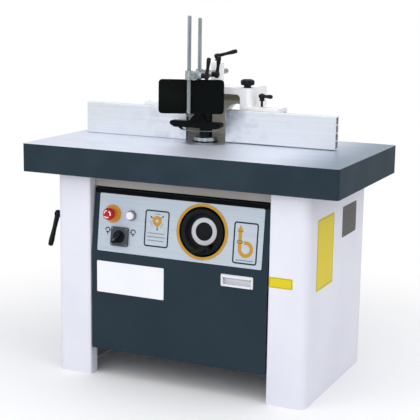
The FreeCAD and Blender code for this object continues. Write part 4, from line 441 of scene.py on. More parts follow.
WHEEL_BLACK = moulded_plastic("wheel_black_plastic", tone(14, 18, 19), tone(34, 38, 41), 0.36, shine=0.1)
LEVER_BLACK = moulded_plastic("lever_black_plastic", tone(15, 18, 20), tone(36, 40, 44), 0.34, shine=0.12)
GUARD_BLACK = moulded_plastic("guard_black_sheet", tone(6, 10, 9), tone(15, 20, 19), 0.34, 500.0, 0.00002,
                              0.04)
SHOE_BLACK = moulded_plastic("shoe_black_plastic", tone(7, 10, 10), tone(22, 26, 26), 0.36, shine=0.06)
DIAL_WHITE = moulded_plastic("dial_pale_plastic", tone(205, 206, 211), tone(187, 189, 195), 0.34)
ESTOP_RED = moulded_plastic("estop_red_plastic", tone(168, 20, 28), tone(184, 40, 48), 0.26, shine=0.2)
ESTOP_YELLOW = moulded_plastic("estop_yellow_base", tone(206, 138, 28), tone(220, 160, 54), 0.34)
START_WHITE = moulded_plastic("start_white_plastic", tone(236, 236, 240), tone(222, 223, 228), 0.26)
START_GREY = moulded_plastic("start_grey_bezel", tone(104, 108, 114), tone(130, 134, 140), 0.3)
SWITCH_GREY = moulded_plastic("switch_grey_plastic", tone(66, 74, 80), tone(86, 94, 100), 0.4, shine=0.15)
BLOCK_GREY = moulded_plastic("contact_block_grey", tone(176, 178, 176), tone(160, 162, 160), 0.42)
IRON_GREY = rough_casting("iron_grey_casting", tone(84, 92, 96), tone(66, 73, 77))
MOTOR_GREY = rough_casting("motor_grey_casting", tone(112, 120, 126), tone(94, 102, 108))
BELT_BLACK = belt_rubber("belt_black_rubber")
SEAL_BLACK = moulded_plastic("seal_black_rubber", tone(8, 11, 12), tone(20, 23, 24), 0.6, 700.0, 0.0001, 0.06)
INK_DARK = printed_ink("ink_dark", tone(24, 34, 44), tone(48, 60, 72))
INK_WHITE = printed_ink("ink_white", tone(240, 236, 234), tone(222, 196, 196))
PLATE_WHITE = powder_coat("plate_white_enamel", tone(240, 241, 246), tone(232, 233, 240), 500.0, 0.00004, 0.3)
PLATE_YELLOW = printed_ink("plate_yellow", tone(220, 200, 28), tone(206, 182, 26), 0.0, 0.44)
PLATE_GREY = drawn_metal("plate_grey_alloy", tone(74, 70, 64), tone(56, 52, 47), "y", 0.44, 0.2, 0.3)
INK_BROWN = printed_ink("ink_brown", tone(120, 104, 40), tone(170, 150, 50))
INK_PALE = printed_ink("ink_pale", tone(120, 131, 142), tone(150, 160, 170))

FINISHES = {
    STAND_WHITE: ("left_side_panel", "right_side_panel", "rear_cover"),
    RAIL_PAINTED_SHADE: ("cross_rails",),
    TABLE_IRON: ("table",),
    RING_STEEL: ("table_rings",),
    DOOR_SLATE: ("front_door",),
    CONSOLE_FOIL: ("control_plate",),
    TRIM_GOLD: ("handwheel_trim",),
    PULL_CHROME: ("door_pull",),
    START_GREY: ("start_bezel",),
    ESTOP_YELLOW: ("estop_base",),
    ESTOP_RED: ("estop_button",),
    START_WHITE: ("start_button",),
    SWITCH_GREY: ("switch_plate",),
    BLOCK_GREY: ("contact_blocks",),
    WHEEL_BLACK: ("handwheel", "crank_handle"),
    DIAL_WHITE: ("wheel_dial",),
    LEVER_BLACK: ("selector_knob", "lock_lever", "left_hood_knob", "right_hood_knob", "left_fence_lever",
                  "right_fence_lever", "post_lever", "guard_lever", "shoe_lever"),
    PART_STEEL: ("wheel_shaft", "bevel_pinion", "bevel_gear", "spindle_bearings", "motor_shaft",
                 "door_hinges", "hood_studs"),
    SCREW_THREAD: ("lift_screw",),
    NUT_BRONZE: ("lift_nut",),
    IRON_GREY: ("slide_way", "gear_bracket", "spindle_carriage", "motor_plate"),
    MOTOR_GREY: ("motor",),
    BELT_BLACK: ("drive_belt",),
    SPINDLE_STEEL: ("spindle_shaft",),
    COLLAR_BLUED: ("spacer_collars", "spindle_nut"),
    PULLEY_ALLOY: ("spindle_pulley", "motor_pulley"),
    HOOD_WHITE: ("fence_hood",),
    FENCE_ALLOY: ("left_fence", "right_fence", "left_fence_bracket", "right_fence_bracket"),
    BAR_ZINC: ("hold_down_bar",),
    CLAMP_ZINC: ("cross_clamps",),
    ROD_ZINC: ("guard_rod", "shoe_rod"),
    GUARD_BLACK: ("guard_plate",),
    SHOE_BLACK: ("pressure_shoe",),
    LEAF_STEEL: ("leaf_spring",),
}


def finish_nodes():
    """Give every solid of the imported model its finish."""
    for finish, names in FINISHES.items():
        for name in names:
            NODES[name].data.materials.clear()
            NODES[name].data.materials.append(finish)


# Surfaces that pieces lie on, in metres

CONSOLE_TILT = math.radians(7.0)
CONSOLE_BEND = Vector((0.0, -0.257, 0.430))
CONSOLE_UP = Vector((0.0, math.sin(CONSOLE_TILT), math.cos(CONSOLE_TILT)))
CONSOLE_OUT = Vector((0.0, -math.cos(CONSOLE_TILT), math.sin(CONSOLE_TILT)))
STAND_FRONT = -0.260
STAND_RIGHT = 0.455
ABOVE_ALL = 1.3
RAY_START = 0.3
SURFACES = {}


def on_console(u, v, out):
    """A point of the leaning console: u to the right, v up along it, out towards the operator."""
    return CONSOLE_BEND + Vector((u, 0.0, 0.0)) + CONSOLE_UP * v + CONSOLE_OUT * out


def on_door(u, v, out):
    """A point of the door's upright lower part: u to the right, v up."""
    return Vector((u, CONSOLE_BEND.y - out, v))


def on_leg(u, v, out):
    """A point of the stand's front: u to the right, v up."""
    return Vector((u, STAND_FRONT - out, v))


def on_right_side(u, v, out):
    """A point of the stand's right side: u to the back, v up."""
    return Vector((STAND_RIGHT + out, u, v))


def on_top(u, v, out):
    """A point above the machine: u to the right, v to the back."""
    return Vector((u, v, ABOVE_ALL + out))


def laid_on(node, place):
    """The same place, but measured outwards from the surface of a node, where a ray meets it."""
    if node not in SURFACES:
        mesh = NODES[node].data
        mesh.calc_loop_triangles()
        SURFACES[node] = BVHTree.FromPolygons(
            [v.co for v in mesh.vertices], [tuple(t.vertices) for t in mesh.loop_triangles])

    def lifted(u, v, out):
        away = (place(u, v, 1.0) - place(u, v, 0.0)).normalized()
        hit = SURFACES[node].ray_cast(place(u, v, RAY_START), -away)[0]
        return (hit if hit is not None else place(u, v, 0.0)) + away * out
    return lifted


# Making of pieces

PIECE_MERGE = 1e-7
LOUVRE_MERGE = 1e-6


def closed_mesh(name, points, faces, merge, smooth=False):
    """A mesh with its double points merged and its faces turned outwards."""
    mesh = bpy.data.meshes.new(name)
    mesh.from_pydata([tuple(p) for p in points], [], faces)
    shape = bmesh.new()
    shape.from_mesh(mesh)
    bmesh.ops.remove_doubles(shape, verts=shape.verts, dist=merge)
    bmesh.ops.recalc_face_normals(shape, faces=shape.faces)
    for face in shape.faces:
        face.smooth = smooth
    shape.to_mesh(mesh)
    shape.free()
    return mesh


def shown(name, data):
    """A new object of the scene that holds this mesh, lamp or camera."""
    obj = bpy.data.objects.new(name, data)
    bpy.context.scene.collection.objects.link(obj)
    return obj


def piece(name, body, finish, points, faces, smooth=False):
    """A closed mesh piece with its place in its mesh, riding on a body."""
    mesh = closed_mesh(name, points, faces, PIECE_MERGE, smooth)
    mesh.materials.append(finish)
    obj = shown(name, mesh)
    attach(obj, body)


def rounded(u0, v0, u1, v1, radius, steps=6):
    """Corner points of a rounded rectangle, anticlockwise."""
    corners = ((u1 - radius, v1 - radius, 0), (u0 + radius, v1 - radius, 90),
               (u0 + radius, v0 + radius, 180), (u1 - radius, v0 + radius, 270))
    line = []
    for u, v, start in corners:
        line += arc(u, v, radius, start, 90, steps)
    return line


def arc(u, v, radius, start, sweep, steps):
    """Points along an arc, with angles in degrees, anticlockwise from the right."""
    angles = [math.radians(start + sweep * step / steps) for step in range(steps + 1)]
    return [(u + radius * math.cos(a), v + radius * math.sin(a)) for a in angles]


def turned_about(middle, angle, line):
    """Points given as (along, across) from a middle, turned by an angle in degrees."""
    cos, sin = math.cos(math.radians(angle)), math.sin(math.radians(angle))
    return [(middle[0] + r * cos - t * sin, middle[1] + r * sin + t * cos) for r, t in line]


class Sketch:
    """Flat raised shapes on one surface, gathered into one piece."""

    def __init__(self, place, thickness):
        self.place = place
        self.thickness = thickness
        self.points = []
        self.faces = []

    def slab(self, line, chamfer=0.0):
        """A filled outline, with its front edge eased."""
        count = len(line)
        middle_u = sum(p[0] for p in line) / count
        middle_v = sum(p[1] for p in line) / count
        first = len(self.points)
        for inset, out in ((0.0, 0.0), (0.0, self.thickness - chamfer), (chamfer, self.thickness)):
            for u, v in line:
                across, up = u - middle_u, v - middle_v
                keep = 1 - inset / math.hypot(across, up)
                self.points.append(self.place(middle_u + across * keep, middle_v + up * keep, out))
        for low in (first, first + count):
            for i in range(count):
                j = (i + 1) % count
                self.faces.append((low + i, low + j, low + count + j, low + count + i))
        self.faces.append(tuple(range(first + 2 * count, first + 3 * count)))
        self.faces.append(tuple(reversed(range(first, first + count))))
        return self

    def stroke(self, line, width, closed=False):
        """A line of even width."""
        count = len(line)
        first = len(self.points)
        for i, (u, v) in enumerate(line):
            before = line[i - 1] if closed or i else line[i]
            after = line[(i + 1) % count] if closed or i + 1 < count else line[i]
            along = Vector((after[0] - before[0], after[1] - before[1])).normalized()
            side = Vector((-along.y, along.x)) * width / 2
            for out in (0.0, self.thickness):
                self.points.append(self.place(u + side.x, v + side.y, out))
                self.points.append(self.place(u - side.x, v - side.y, out))
        for i in range(count if closed else count - 1):
            a = first + 4 * i
            b = first + 4 * ((i + 1) % count)
            self.faces += [(a + 2, a + 3, b + 3, b + 2), (a + 1, a, b, b + 1),
                           (a, a + 2, b + 2, b), (a + 3, a + 1, b + 1, b + 3)]
        if not closed:
            last = first + 4 * (count - 1)
            self.faces += [(first, first + 1, first + 3, first + 2), (last + 1, last, last + 2, last + 3)]
        return self

    def arrow(self, tip, heading, length, width):
        """A plain three-cornered arrow head."""
        angle = math.radians(heading)
        ahead = Vector((math.cos(angle), math.sin(angle)))
        side = Vector((-ahead.y, ahead.x)) * width / 2
        back = Vector(tip) - ahead * length
        return self.slab([tuple(tip), tuple(back + side), tuple(back - side)])

    def bent_arrow(self, bend, start, sweep, width, head):
        """An arc, as (u, v, radius, steps), and a head, as (lead, length, breadth), from its end on."""
        u, v, radius, steps = bend
        lead, length, breadth = head
        line = arc(u, v, radius, start, sweep, steps)
        heading = start + sweep + (90 if sweep > 0 else -90)
        self.stroke(line, width)
        self.arrow(turned_about(line[-1], heading, [(lead, 0.0)])[0], heading, length, breadth)

    def made(self, name, body, finish):
        piece(name, body, finish, self.points, self.faces)


# Repeated pieces, by geometry nodes

class Pattern:
    """A geometry tree with named inputs, whose result becomes a plain mesh."""

    def __init__(self, name, inputs):
        self.tree = bpy.data.node_groups.new(name, "GeometryNodeTree")
        sockets = self.tree.interface
        sockets.new_socket("Geometry", in_out="INPUT", socket_type="NodeSocketGeometry")
        self.ids = {}
        for label, kind in inputs.items():
            self.ids[label] = sockets.new_socket(label, in_out="INPUT", socket_type=kind).identifier
        sockets.new_socket("Geometry", in_out="OUTPUT", socket_type="NodeSocketGeometry")
        self.given = grow(self.tree, "NodeGroupInput")

    def __getitem__(self, label):
        return self.given.outputs[label]

    def add(self, kind, settings=None, inputs=None, output=0):
        node = grow(self.tree, kind, settings, inputs)
        return node.outputs[output] if node.outputs else None

    def times(self, first, second):
        return self.add("ShaderNodeMath", {"operation": "MULTIPLY"}, {0: first, 1: second})

    def end(self, instances):
        real = self.add("GeometryNodeRealizeInstances", inputs={0: instances})
        painted = self.add("GeometryNodeSetMaterial", inputs={"Geometry": real, "Material": self["Finish"]})
        self.add("NodeGroupOutput", inputs={0: painted})

    def made(self, name, body, points, **values):
        """The pattern on these points, as one plain mesh that rides on a body."""
        seed = bpy.data.meshes.new(name + "_points")
        seed.from_pydata([tuple(p) for p in points], [], [])
        holder = shown(name + "_holder", seed)
        modifier = holder.modifiers.new("pattern", "NODES")
        modifier.node_group = self.tree
        for label, value in values.items():
            modifier[self.ids[label.replace("_", " ")]] = value
        bpy.context.view_layer.update()
        graph = bpy.context.evaluated_depsgraph_get()
        mesh = bpy.data.meshes.new_from_object(holder.evaluated_get(graph))
        bpy.data.objects.remove(holder)
        mesh.name = name
        obj = shown(name, mesh)
        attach(obj, body)


# A screw's head, and the socket in it
HEAD_SIDES = 24
HEAD_TAPER = 0.86
SOCKET_SIDES = 6
SOCKET_SHARE = 0.5


def socket_screws():
    """Round-headed screws with a six-sided socket, one on each point, all facing one way."""
    pattern = Pattern("socket_screws", {"Head radius": "NodeSocketFloat", "Head height": "NodeSocketFloat",
                                        "Facing": "NodeSocketVector", "Finish": "NodeSocketMaterial"})
    radius = pattern["Head radius"]
    height = pattern["Head height"]
    head = pattern.add("GeometryNodeMeshCone", {"fill_type": "NGON"}, {
        "Vertices": HEAD_SIDES, "Radius Top": pattern.times(radius, HEAD_TAPER), "Radius Bottom": radius,
        "Depth": height})
    top = pattern.add("ShaderNodeCombineXYZ", inputs={2: height})
    hole = pattern.add("GeometryNodeMeshCylinder", {"fill_type": "NGON"}, {
        "Vertices": SOCKET_SIDES, "Radius": pattern.times(radius, SOCKET_SHARE), "Depth": height})
    hole = pattern.add("GeometryNodeTransform", inputs={"Geometry": hole, "Translation": top})
    bored = pattern.add("GeometryNodeMeshBoolean", {"operation": "DIFFERENCE"}, {0: head, 1: hole})
    turn = pattern.add("FunctionNodeAlignRotationToVector", {"axis": "Z"}, {"Vector": pattern["Facing"]})
    pattern.end(pattern.add("GeometryNodeInstanceOnPoints", inputs={
        "Points": pattern["Geometry"], "Instance": bored, "Rotation": turn}))
    return pattern


def copies_of_form():
    """The same form on every point, unturned."""
    pattern = Pattern("copies_of_form", {"Form": "NodeSocketObject", "Finish": "NodeSocketMaterial"})
    form = pattern.add("GeometryNodeObjectInfo", inputs={"Object": pattern["Form"]}, output="Geometry")
    pattern.end(pattern.add("GeometryNodeInstanceOnPoints", inputs={
        "Points": pattern["Geometry"], "Instance": form}))
    return pattern


SCREWS = socket_screws()
COPIES = copies_of_form()

# Radius and height of a screw's head
COVER_SCREW = (0.006, 0.0035)
GUARD_SCREW = (0.0036, 0.0022)
SWITCH_SCREW = (0.0022, 0.0008)
WAY_BOLT = (0.008, 0.007)
WING_SCREW = (0.0042, 0.0024)
PLATE_SCREW = (0.0024, 0.001)
LEVER_SCREW = (0.0034, 0.0014)

# Ways that a screw faces
FRONT = (0.0, -1.0, 0.0)
BACK = (0.0, 1.0, 0.0)
RIGHT = (1.0, 0.0, 0.0)
UP = (0.0, 0.0, 1.0)


def screws(name, body, spots, size, facing, finish=PART_STEEL):
    """Socket screws on these spots of one body."""
    radius, height = size
    SCREWS.made(name, body, spots, Head_radius=radius, Head_height=height, Facing=facing, Finish=finish)


# Bare plates

# Body, surface, thickness, corners with their radius, chamfer or line width, and finish of each
PLATES = {
    "door_bare_plate": ("door", on_door, 0.0012, (-0.299, 0.298, -0.047, 0.406, 0.003), 0.0005, PLATE_WHITE),
    "leg_bare_plate": ("stand", on_leg, 0.0006, (0.326, 0.390, 0.406, 0.425, 0.003), 0.0002, PLATE_YELLOW),
    "side_yellow_plate": ("stand", on_right_side, 0.0006, (-0.181, 0.369, -0.023, 0.604, 0.004), 0.0002,
                          PLATE_YELLOW),
    "side_grey_plate": ("stand", on_right_side, 0.001, (0.065, 0.500, 0.209, 0.604, 0.005), 0.0004,
                        PLATE_GREY),
}
BORDERS = {
    "side_plate_border": ("stand", on_right_side, 0.0008, (-0.177, 0.374, -0.027, 0.599, 0.003), 0.0014,
                          INK_BROWN),
    "leg_plate_border": ("stand", on_leg, 0.0008, (0.329, 0.393, 0.403, 0.422, 0.002), 0.001, INK_BROWN),
}


def bare_plates():
    """Blank plates on the door and the stand, and the printed borders of the yellow ones."""
    for name, (body, place, thickness, corners, chamfer, finish) in PLATES.items():
        Sketch(place, thickness).slab(rounded(*corners), chamfer).made(name, body, finish)
    for name, (body, place, thickness, corners, width, finish) in BORDERS.items():
        Sketch(place, thickness).stroke(rounded(*corners), width, True).made(name, body, finish)


# Signs printed on the console and on its buttons

# Thickness of each print: what lies over another one is thicker
PRINT = {"rules": 0.00016, "frames": 0.00018, "turns": 0.00018, "cutter": 0.0002, "lift": 0.0002,
         "tips": 0.00022, "marker": 0.00024, "estop": 0.00025, "pointer": 0.0003}


def sign_frames(surface):
    """Rounded frames round the two signs."""
    radius, width = 0.007, 0.0050
    frames = Sketch(surface, PRINT["frames"])
    for corners in ((-0.122, 0.046, -0.0375, 0.163), (0.198, 0.025, 0.278, 0.155)):
        frames.stroke(rounded(*corners, radius), width, True)
    frames.made("console_frames", "door", INK_DARK)


def tapered(near, near_half, far, far_half):
    """Corners of a bar that runs out from a middle and changes its width."""
    return [(near, -near_half), (far, -far_half), (far, far_half), (near, near_half)]


def cutter_sign(surface):
    """A ring with three tapered teeth, their dark tips, and dark arcs between them."""
    middle = (-0.0797, 0.130)
    ring_radius, ring_width = 0.0112, 0.0116
    arc_radius, arc_sweep, arc_width = 0.0235, 46, 0.0012
    cutter = Sketch(surface, PRINT["cutter"])
    tips = Sketch(surface, PRINT["tips"])
    cutter.stroke(arc(*middle, ring_radius, 0, 360, 40)[:-1], ring_width, True)
    for turn, reach in ((152, 0.027), (36, 0.029), (274, 0.030)):
        tooth = tapered(0.0155, 0.0042, reach - 0.006, 0.0016)
        tip = tapered(reach - 0.0056, 0.0022, reach, 0.0028)
        cutter.slab(turned_about(middle, turn, tooth))
        tips.slab(turned_about(middle, turn, tip))
    for start in (62, 182, 300):
        tips.stroke(arc(*middle, arc_radius, start, arc_sweep, 12), arc_width)
    cutter.made("cutter_sign", "door", TRIM_GOLD)
    tips.made("cutter_sign_tips", "door", INK_DARK)


def lift_sign(surface):
    """An arrow that rises out of a loop, with a small marker across its stem."""
    stem, stem_width, tip = 0.2187, 0.0122, 0.1475
    loop, loop_sweep = (0.2392, 0.0705), 288
    line = [(stem, 0.128), (stem, 0.100)] + arc(*loop, loop[0] - stem, 180, loop_sweep, 40)
    lift = Sketch(surface, PRINT["lift"])
    lift.stroke(line, stem_width)
    lift.arrow((stem, tip), 90, 0.0222, 0.0225)
    lift.made("lift_sign", "door", TRIM_GOLD)
    marker = Sketch(surface, PRINT["marker"])
    marker.stroke(rounded(stem - 0.0085, 0.0885, stem + 0.0085, 0.0965, 0.001, 2), 0.0018, True)
    marker.made("lift_sign_marker", "door", INK_DARK)


def sign_rules(surface):
    """Plain rules below the pictures of the two signs."""
    width = 0.0030
    rules = Sketch(surface, PRINT["rules"])
    for v, start, end in ((0.0885, -0.111, -0.050), (0.0765, -0.115, -0.047), (0.0645, -0.112, -0.052),
                          (0.0345, 0.208, 0.268)):
        rules.stroke([(start, v), (end, v)], width)
    rules.made("sign_rules", "door", INK_PALE)


def selector_signs(surface):
    """A bent arrow over a small cross, at each side of the selector."""
    bend_level, bend_radius, bend_width = 0.084, 0.0078, 0.0036
    cross_level, cross_half, cross_width = 0.0765, 0.0062, 0.0032
    head = (0.004, 0.006, 0.0076)
    turns = Sketch(surface, PRINT["turns"])
    for u, start, sweep in ((-0.262, 200, -220), (-0.166, -20, 220)):
        turns.bent_arrow((u, bend_level, bend_radius, 18), start, sweep, bend_width, head)
        turns.stroke([(u, 0.081), (u, 0.069)], cross_width)
        turns.stroke([(u - cross_half, cross_level), (u + cross_half, cross_level)], cross_width)
    turns.made("selector_signs", "door", INK_DARK)


def button_prints():
    """Three bent arrows on the emergency stop, and the pointer on the selector's knob."""
    bend_radius, bend_sweep, bend_width = 0.0118, 66, 0.0034
    head = (0.0045, 0.0056, 0.0072)
    arrows = Sketch(laid_on("estop_button", on_console), PRINT["estop"])
    for start in (100, 220, 340):
        arrows.bent_arrow((*ESTOP, bend_radius, 14), start, bend_sweep, bend_width, head)
    arrows.made("estop_arrows", "estop", INK_WHITE)
    pointer = Sketch(laid_on("selector_knob", on_console), PRINT["pointer"])
    pointer.stroke(turned_about(SELECTOR, 225, [(r, 0.0) for r in (0.006, 0.012, 0.018)]), 0.0022)
    pointer.made("selector_pointer", "selector", INK_PALE)


def console_signs():
    foil = laid_on("control_plate", on_console)
    sign_frames(foil)
    cutter_sign(foil)
    lift_sign(foil)
    sign_rules(foil)
    selector_signs(foil)
    button_prints()


# Seals and lips

# The rail's seal in section, as (y, z), and half its length
RAIL_SEAL = ((-0.2240, 0.6680), (-0.2240, 0.6535), (-0.2100, 0.6535), (-0.2100, 0.6420), (-0.2060, 0.6420),
             (-0.2060, 0.6575), (-0.2205, 0.6575), (-0.2205, 0.6680))
RAIL_SEAL_REACH = 0.322


def door_seal():
    """Rubber along the console's top edge: a flat band with a raised lip."""
    left, right, level = -0.317, 0.3175, 0.2125
    for name, width, height in (("door_seal_band", 0.0145, 0.0012), ("door_seal_lip", 0.0042, 0.0026)):
        seal = Sketch(on_console, height)
        seal.stroke([(left, level), (0.0, level), (right, level)], width)
        seal.made(name, "door", SEAL_BLACK)


def rail_seal():
    """The rubber lip on the rail, behind the door's seal."""
    count = len(RAIL_SEAL)
    points = [(x, y, z) for x in (-RAIL_SEAL_REACH, RAIL_SEAL_REACH) for y, z in RAIL_SEAL]
    faces = [(i, (i + 1) % count, count + (i + 1) % count, count + i) for i in range(count)]
    faces += [tuple(range(count)), tuple(range(count, 2 * count))]
    piece("rail_seal", "stand", SEAL_BLACK, points, faces)


def pull_lips():
    """Bright rims above and below the hollow of the flush pull."""
    low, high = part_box("door_pull")
    margin, corner = 0.006, 0.003
    left, right = low.x + margin, high.x - margin
    lips = Sketch(lambda u, v, out: Vector((u, low.y - out, v)), 0.0032)
    lips.slab(rounded(left, high.z - 0.0105, right, high.z - 0.001, corner), 0.0024)
    lips.slab(rounded(left, low.z + 0.001, right, low.z + 0.0085, corner), 0.0018)
    lips.made("pull_lips", "door", PULL_CHROME)


# Small fittings

# The plug of the hold-down bar, as (radius, along) from the bar's end
PLUG_PROFILE = ((0.0, 0.0), (0.0086, 0.0), (0.0086, 0.0034), (0.0080, 0.0046), (0.0, 0.0048))
PLUG_SIDES = 28

# Length, rise, depth and wall of a louvre, its sweep in degrees, and the share of its depth at its ends
LOUVRE = (0.226, 0.010, 0.0072, 0.0012)
LOUVRE_SWEEP = 100
LOUVRE_END = 0.06
LOUVRE_ROWS = 17
LOUVRE_STEPS = 8

# Places of the louvres on the rear cover
LOUVRE_SIDE = 0.143
LOUVRE_FIRST = 0.4255
LOUVRE_PITCH = 0.024
LOUVRE_COUNT = 6


def cover_screws():
    low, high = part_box("rear_cover")
    side, end = 0.014, 0.05
    columns = (low.x + side, high.x - side)
    levels = (low.z + end, (low.z + high.z) / 2, high.z - end)
    screws("cover_screws", "stand", [(x, high.y, z) for x in columns for z in levels], COVER_SCREW, BACK)


def pressed_louvre(length, rise, depth, wall):
    """One louvre pressed out of sheet: closed above and at its ends, open below."""
    points, faces = [], []
    for row in range(LOUVRE_ROWS):
        t = 2 * row / (LOUVRE_ROWS - 1) - 1
        swell = max(1 - abs(t) ** 5, LOUVRE_END)
        for skin, least in ((0.0, 0.0002), (wall, 0.0001)):
            reach = max(depth * swell - skin, least)
            for step in range(LOUVRE_STEPS + 1):
                a = math.radians(90 - LOUVRE_SWEEP * step / LOUVRE_STEPS)
                points.append((t * length / 2, reach * math.cos(a), (rise - skin) * math.sin(a)))
    inner = LOUVRE_STEPS + 1
    count = 2 * inner
    ring = [*range(inner), *reversed(range(inner, count))]
    for row in range(LOUVRE_ROWS - 1):
        low, high = row * count, (row + 1) * count
        for near, far in zip(ring, ring[1:] + ring[:1]):
            faces.append((low + near, low + far, high + far, high + near))
    for low in (0, (LOUVRE_ROWS - 1) * count):
        for i in range(low, low + LOUVRE_STEPS):
            faces.append((i, i + 1, i + inner + 1, i + inner))
    return points, faces


def rear_louvres():
    """Two columns of louvres on the rear cover."""
    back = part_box("rear_cover")[1].y
    points, faces = pressed_louvre(*LOUVRE)
    form = shown("louvre_form", closed_mesh("louvre_form", points, faces, LOUVRE_MERGE))
    spots = [(side * LOUVRE_SIDE, back, LOUVRE_FIRST + LOUVRE_PITCH * row)
             for side in (1, -1) for row in range(LOUVRE_COUNT)]
    COPIES.made("rear_louvres", "stand", spots, Form=form, Finish=STAND_WHITE)
    bpy.data.objects.remove(form)


def guard_screws():
    low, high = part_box("guard_plate")
    column, sunk = -0.058, 0.0004
    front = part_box("guard_rod")[0].y + sunk
    spots = [(column, front, high.z - share * (high.z - low.z)) for share in (0.31, 0.9)]
    screws("guard_screws", "guard_rod", spots, GUARD_SCREW, FRONT)


def bar_end_plug():
    """A turned plug in the rear end of the hold-down bar."""
    low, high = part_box("hold_down_bar")
    x, z = (low.x + high.x) / 2, (low.z + high.z) / 2
    end = Vector((0.0, high.y, 0.0))
    turns = [2 * math.pi * i / PLUG_SIDES for i in range(PLUG_SIDES)]
    points = [Vector((x + r * math.cos(a), along, z + r * math.sin(a))) + end
              for r, along in PLUG_PROFILE for a in turns]
    faces = []
    for first in range(0, (len(PLUG_PROFILE) - 1) * PLUG_SIDES, PLUG_SIDES):
        for i in range(PLUG_SIDES):
            j = (i + 1) % PLUG_SIDES
            faces.append((first + i, first + j, first + PLUG_SIDES + j, first + PLUG_SIDES + i))
    piece("bar_end_plug", "bar", LEVER_BLACK, points, faces, True)


def switch_screws():
    face = laid_on("switch_plate", on_console)
    reach = 0.0265
    spots = [face(SELECTOR[0] + reach * i, SELECTOR[1] + reach * j, 0.0) for i in (1, -1) for j in (1, -1)]
    screws("switch_screws", "door", spots, SWITCH_SCREW, tuple(CONSOLE_OUT))


def way_bolts():
    """Bolts on the fronts of the slide way and the gear bracket."""
    way = laid_on("slide_way", on_door)
    bracket = laid_on("gear_bracket", on_door)
    spots = [way(x, z, 0.0) for x in (-0.102, 0.016) for z in (0.345, 0.480, 0.615)]
    spots += [bracket(0.049, z, 0.0) for z in (0.262, 0.420)]
    screws("way_bolts", "stand", spots, WAY_BOLT, FRONT)


def wing_screws():
    wing = laid_on("fence_hood", on_top)
    row = 0.106
    spots = [wing(HOOD_MIDDLE[0] + side * x, row, 0.0) for side in (1, -1) for x in (0.2, 0.243)]
    screws("wing_screws", "hood", spots, WING_SCREW, UP, STAND_WHITE)


def side_plate_screws():
    plate_face = PLATES["side_grey_plate"][2]
    spots = [on_right_side(y, z, plate_face) for y in (0.072, 0.202) for z in (0.507, 0.597)]
    screws("side_plate_screws", "stand", spots, PLATE_SCREW, RIGHT)


def lever_screws():
    """A dark socket screw in the end of each clamp lever's hub, on the axis that the lever turns about."""
    for joint in frame["joints"]:
        if joint["name"].endswith("_clamp"):
            lever = joint["child"]
            hub, axis = Vector(joint["pos_m"]), Vector(joint["axis"])
            end = laid_on(lever, lambda u, v, out: hub + axis * out)(0.0, 0.0, 0.0)
            screws(lever + "_screw", lever, [end], LEVER_SCREW, tuple(axis), SCREW_BLACK)


# Stage, light and camera

# Place, width and power of each lamp, and the point that all of them face
LAMPS = {
    "key_light": ((-1.9, -2.9, 2.7), 3.0, 45.0),
    "front_light": ((0.9, -3.3, 1.6), 1.8, 19.0),
    "fill_light": ((2.9, -1.0, 3.0), 3.0, 38.0),
    "top_light": ((0.2, 0.3, 3.6), 4.0, 56.0),
}
LAMP_AIM = Vector((0.0, 0.0, 0.6))
SKY_COLOUR = (0.97, 0.98, 1.0, 1.0)
SKY_STRENGTH = 0.5
WHITE_RAYS = ("Is Glossy Ray", "Is Transmission Ray")

# The camera fitted to the photo: yaw, pitch and roll in radians, focal length and picture width in pixels
CAMERA_PLACE = (1.6366, -3.5690, 1.3378)
CAMERA_TURN = (0.4302, 0.1951, 0.0149)
FOCAL_PIXELS = 1164.06
PHOTO_PIXELS = 420
SENSOR_WIDTH = 36.0


def floor_finish():
    """A pale floor that shows shadows near the machine, and plain white further away."""
    paint = Paint("studio_floor")
    x, y = paint.axis("X"), paint.axis("Y")
    seen = paint.add("ShaderNodeLightPath", output="Is Camera Ray")
    for ray in WHITE_RAYS:
        seen = seen.at_least(paint.add("ShaderNodeLightPath", output=ray))
    base = paint.mix(paint.noise(1.3, 2.0), tone(246, 246, 248), tone(249, 249, 250))
    lit = paint.add("ShaderNodeBsdfPrincipled", inputs={"Base Color": base, "Roughness": 0.9})
    glow = paint.add("ShaderNodeEmission", inputs={"Color": WHITE, "Strength": 1.0})
    far = paint.ramp((x * x + y * y).root(), *FLOOR_WHITE)
    surface = paint.add("ShaderNodeMixShader", inputs={0: far * seen, 1: lit, 2: glow})
    paint.add("ShaderNodeOutputMaterial", inputs={"Surface": surface})
    return paint.material


def studio_floor():
    reach = 30
    corners = [(-reach, -reach, 0), (reach, -reach, 0), (reach, reach, 0), (-reach, reach, 0)]
    mesh = bpy.data.meshes.new("studio_floor")
    mesh.from_pydata(corners, [], [(0, 1, 2, 3)])
    mesh.materials.append(floor_finish())
    floor = shown("studio_floor", mesh)


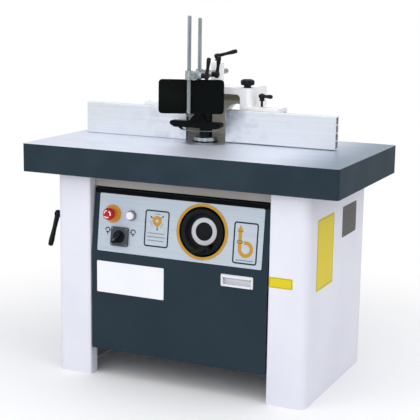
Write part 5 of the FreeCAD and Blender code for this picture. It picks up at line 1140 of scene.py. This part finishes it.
def studio_world():
    """Soft light all round, and white where the camera, a glossy or a clear surface looks at the sky."""
    world = bpy.data.worlds.new("studio")
    bpy.context.scene.world = world
    world.use_nodes = True
    tree = world.node_tree
    tree.nodes.clear()
    rays = grow(tree, "ShaderNodeLightPath").outputs
    seen = rays["Is Camera Ray"]
    for ray in WHITE_RAYS:
        seen = grow(tree, "ShaderNodeMath", {"operation": "MAXIMUM"}, {0: seen, 1: rays[ray]}).outputs[0]
    soft = grow(tree, "ShaderNodeBackground", inputs={"Color": SKY_COLOUR, "Strength": SKY_STRENGTH})
    white = grow(tree, "ShaderNodeBackground", inputs={"Color": WHITE})
    sky = grow(tree, "ShaderNodeMixShader", inputs={0: seen, 1: soft.outputs[0], 2: white.outputs[0]})
    grow(tree, "ShaderNodeOutputWorld", inputs={"Surface": sky.outputs[0]})


def studio_lamps():
    for name, (spot, size, power) in LAMPS.items():
        data = bpy.data.lights.new(name, "AREA")
        data.shape = "SQUARE"
        data.size = size
        data.energy = power
        lamp = shown(name, data)
        lamp.location = spot
        lamp.rotation_euler = (LAMP_AIM - Vector(spot)).to_track_quat("-Z", "Y").to_euler()


def photo_camera():
    """A camera that sees the machine as the photo does."""
    yaw, pitch, roll = CAMERA_TURN
    level = math.cos(pitch)
    ahead = Vector((-math.sin(yaw) * level, math.cos(yaw) * level, -math.sin(pitch)))
    right = Vector((math.cos(yaw), math.sin(yaw), 0.0))
    up = right.cross(ahead)
    across = right * math.cos(roll) + up * math.sin(roll)
    upright = up * math.cos(roll) - right * math.sin(roll)
    data = bpy.data.cameras.new("photo_camera")
    data.sensor_width = SENSOR_WIDTH
    data.lens = FOCAL_PIXELS / PHOTO_PIXELS * SENSOR_WIDTH
    data.clip_end = 100.0
    camera = shown("photo_camera", data)
    turn = Matrix((across, upright, -ahead)).transposed().to_4x4()
    camera.matrix_world = Matrix.Translation(CAMERA_PLACE) @ turn
    bpy.context.scene.camera = camera


finish_nodes()
bare_plates()
console_signs()
door_seal()
rail_seal()
pull_lips()
cover_screws()
rear_louvres()
guard_screws()
bar_end_plug()
switch_screws()
way_bolts()
wing_screws()
side_plate_screws()
lever_screws()
studio_floor()
studio_world()
studio_lamps()
photo_camera()
bpy.context.scene.view_settings.view_transform = "Standard"
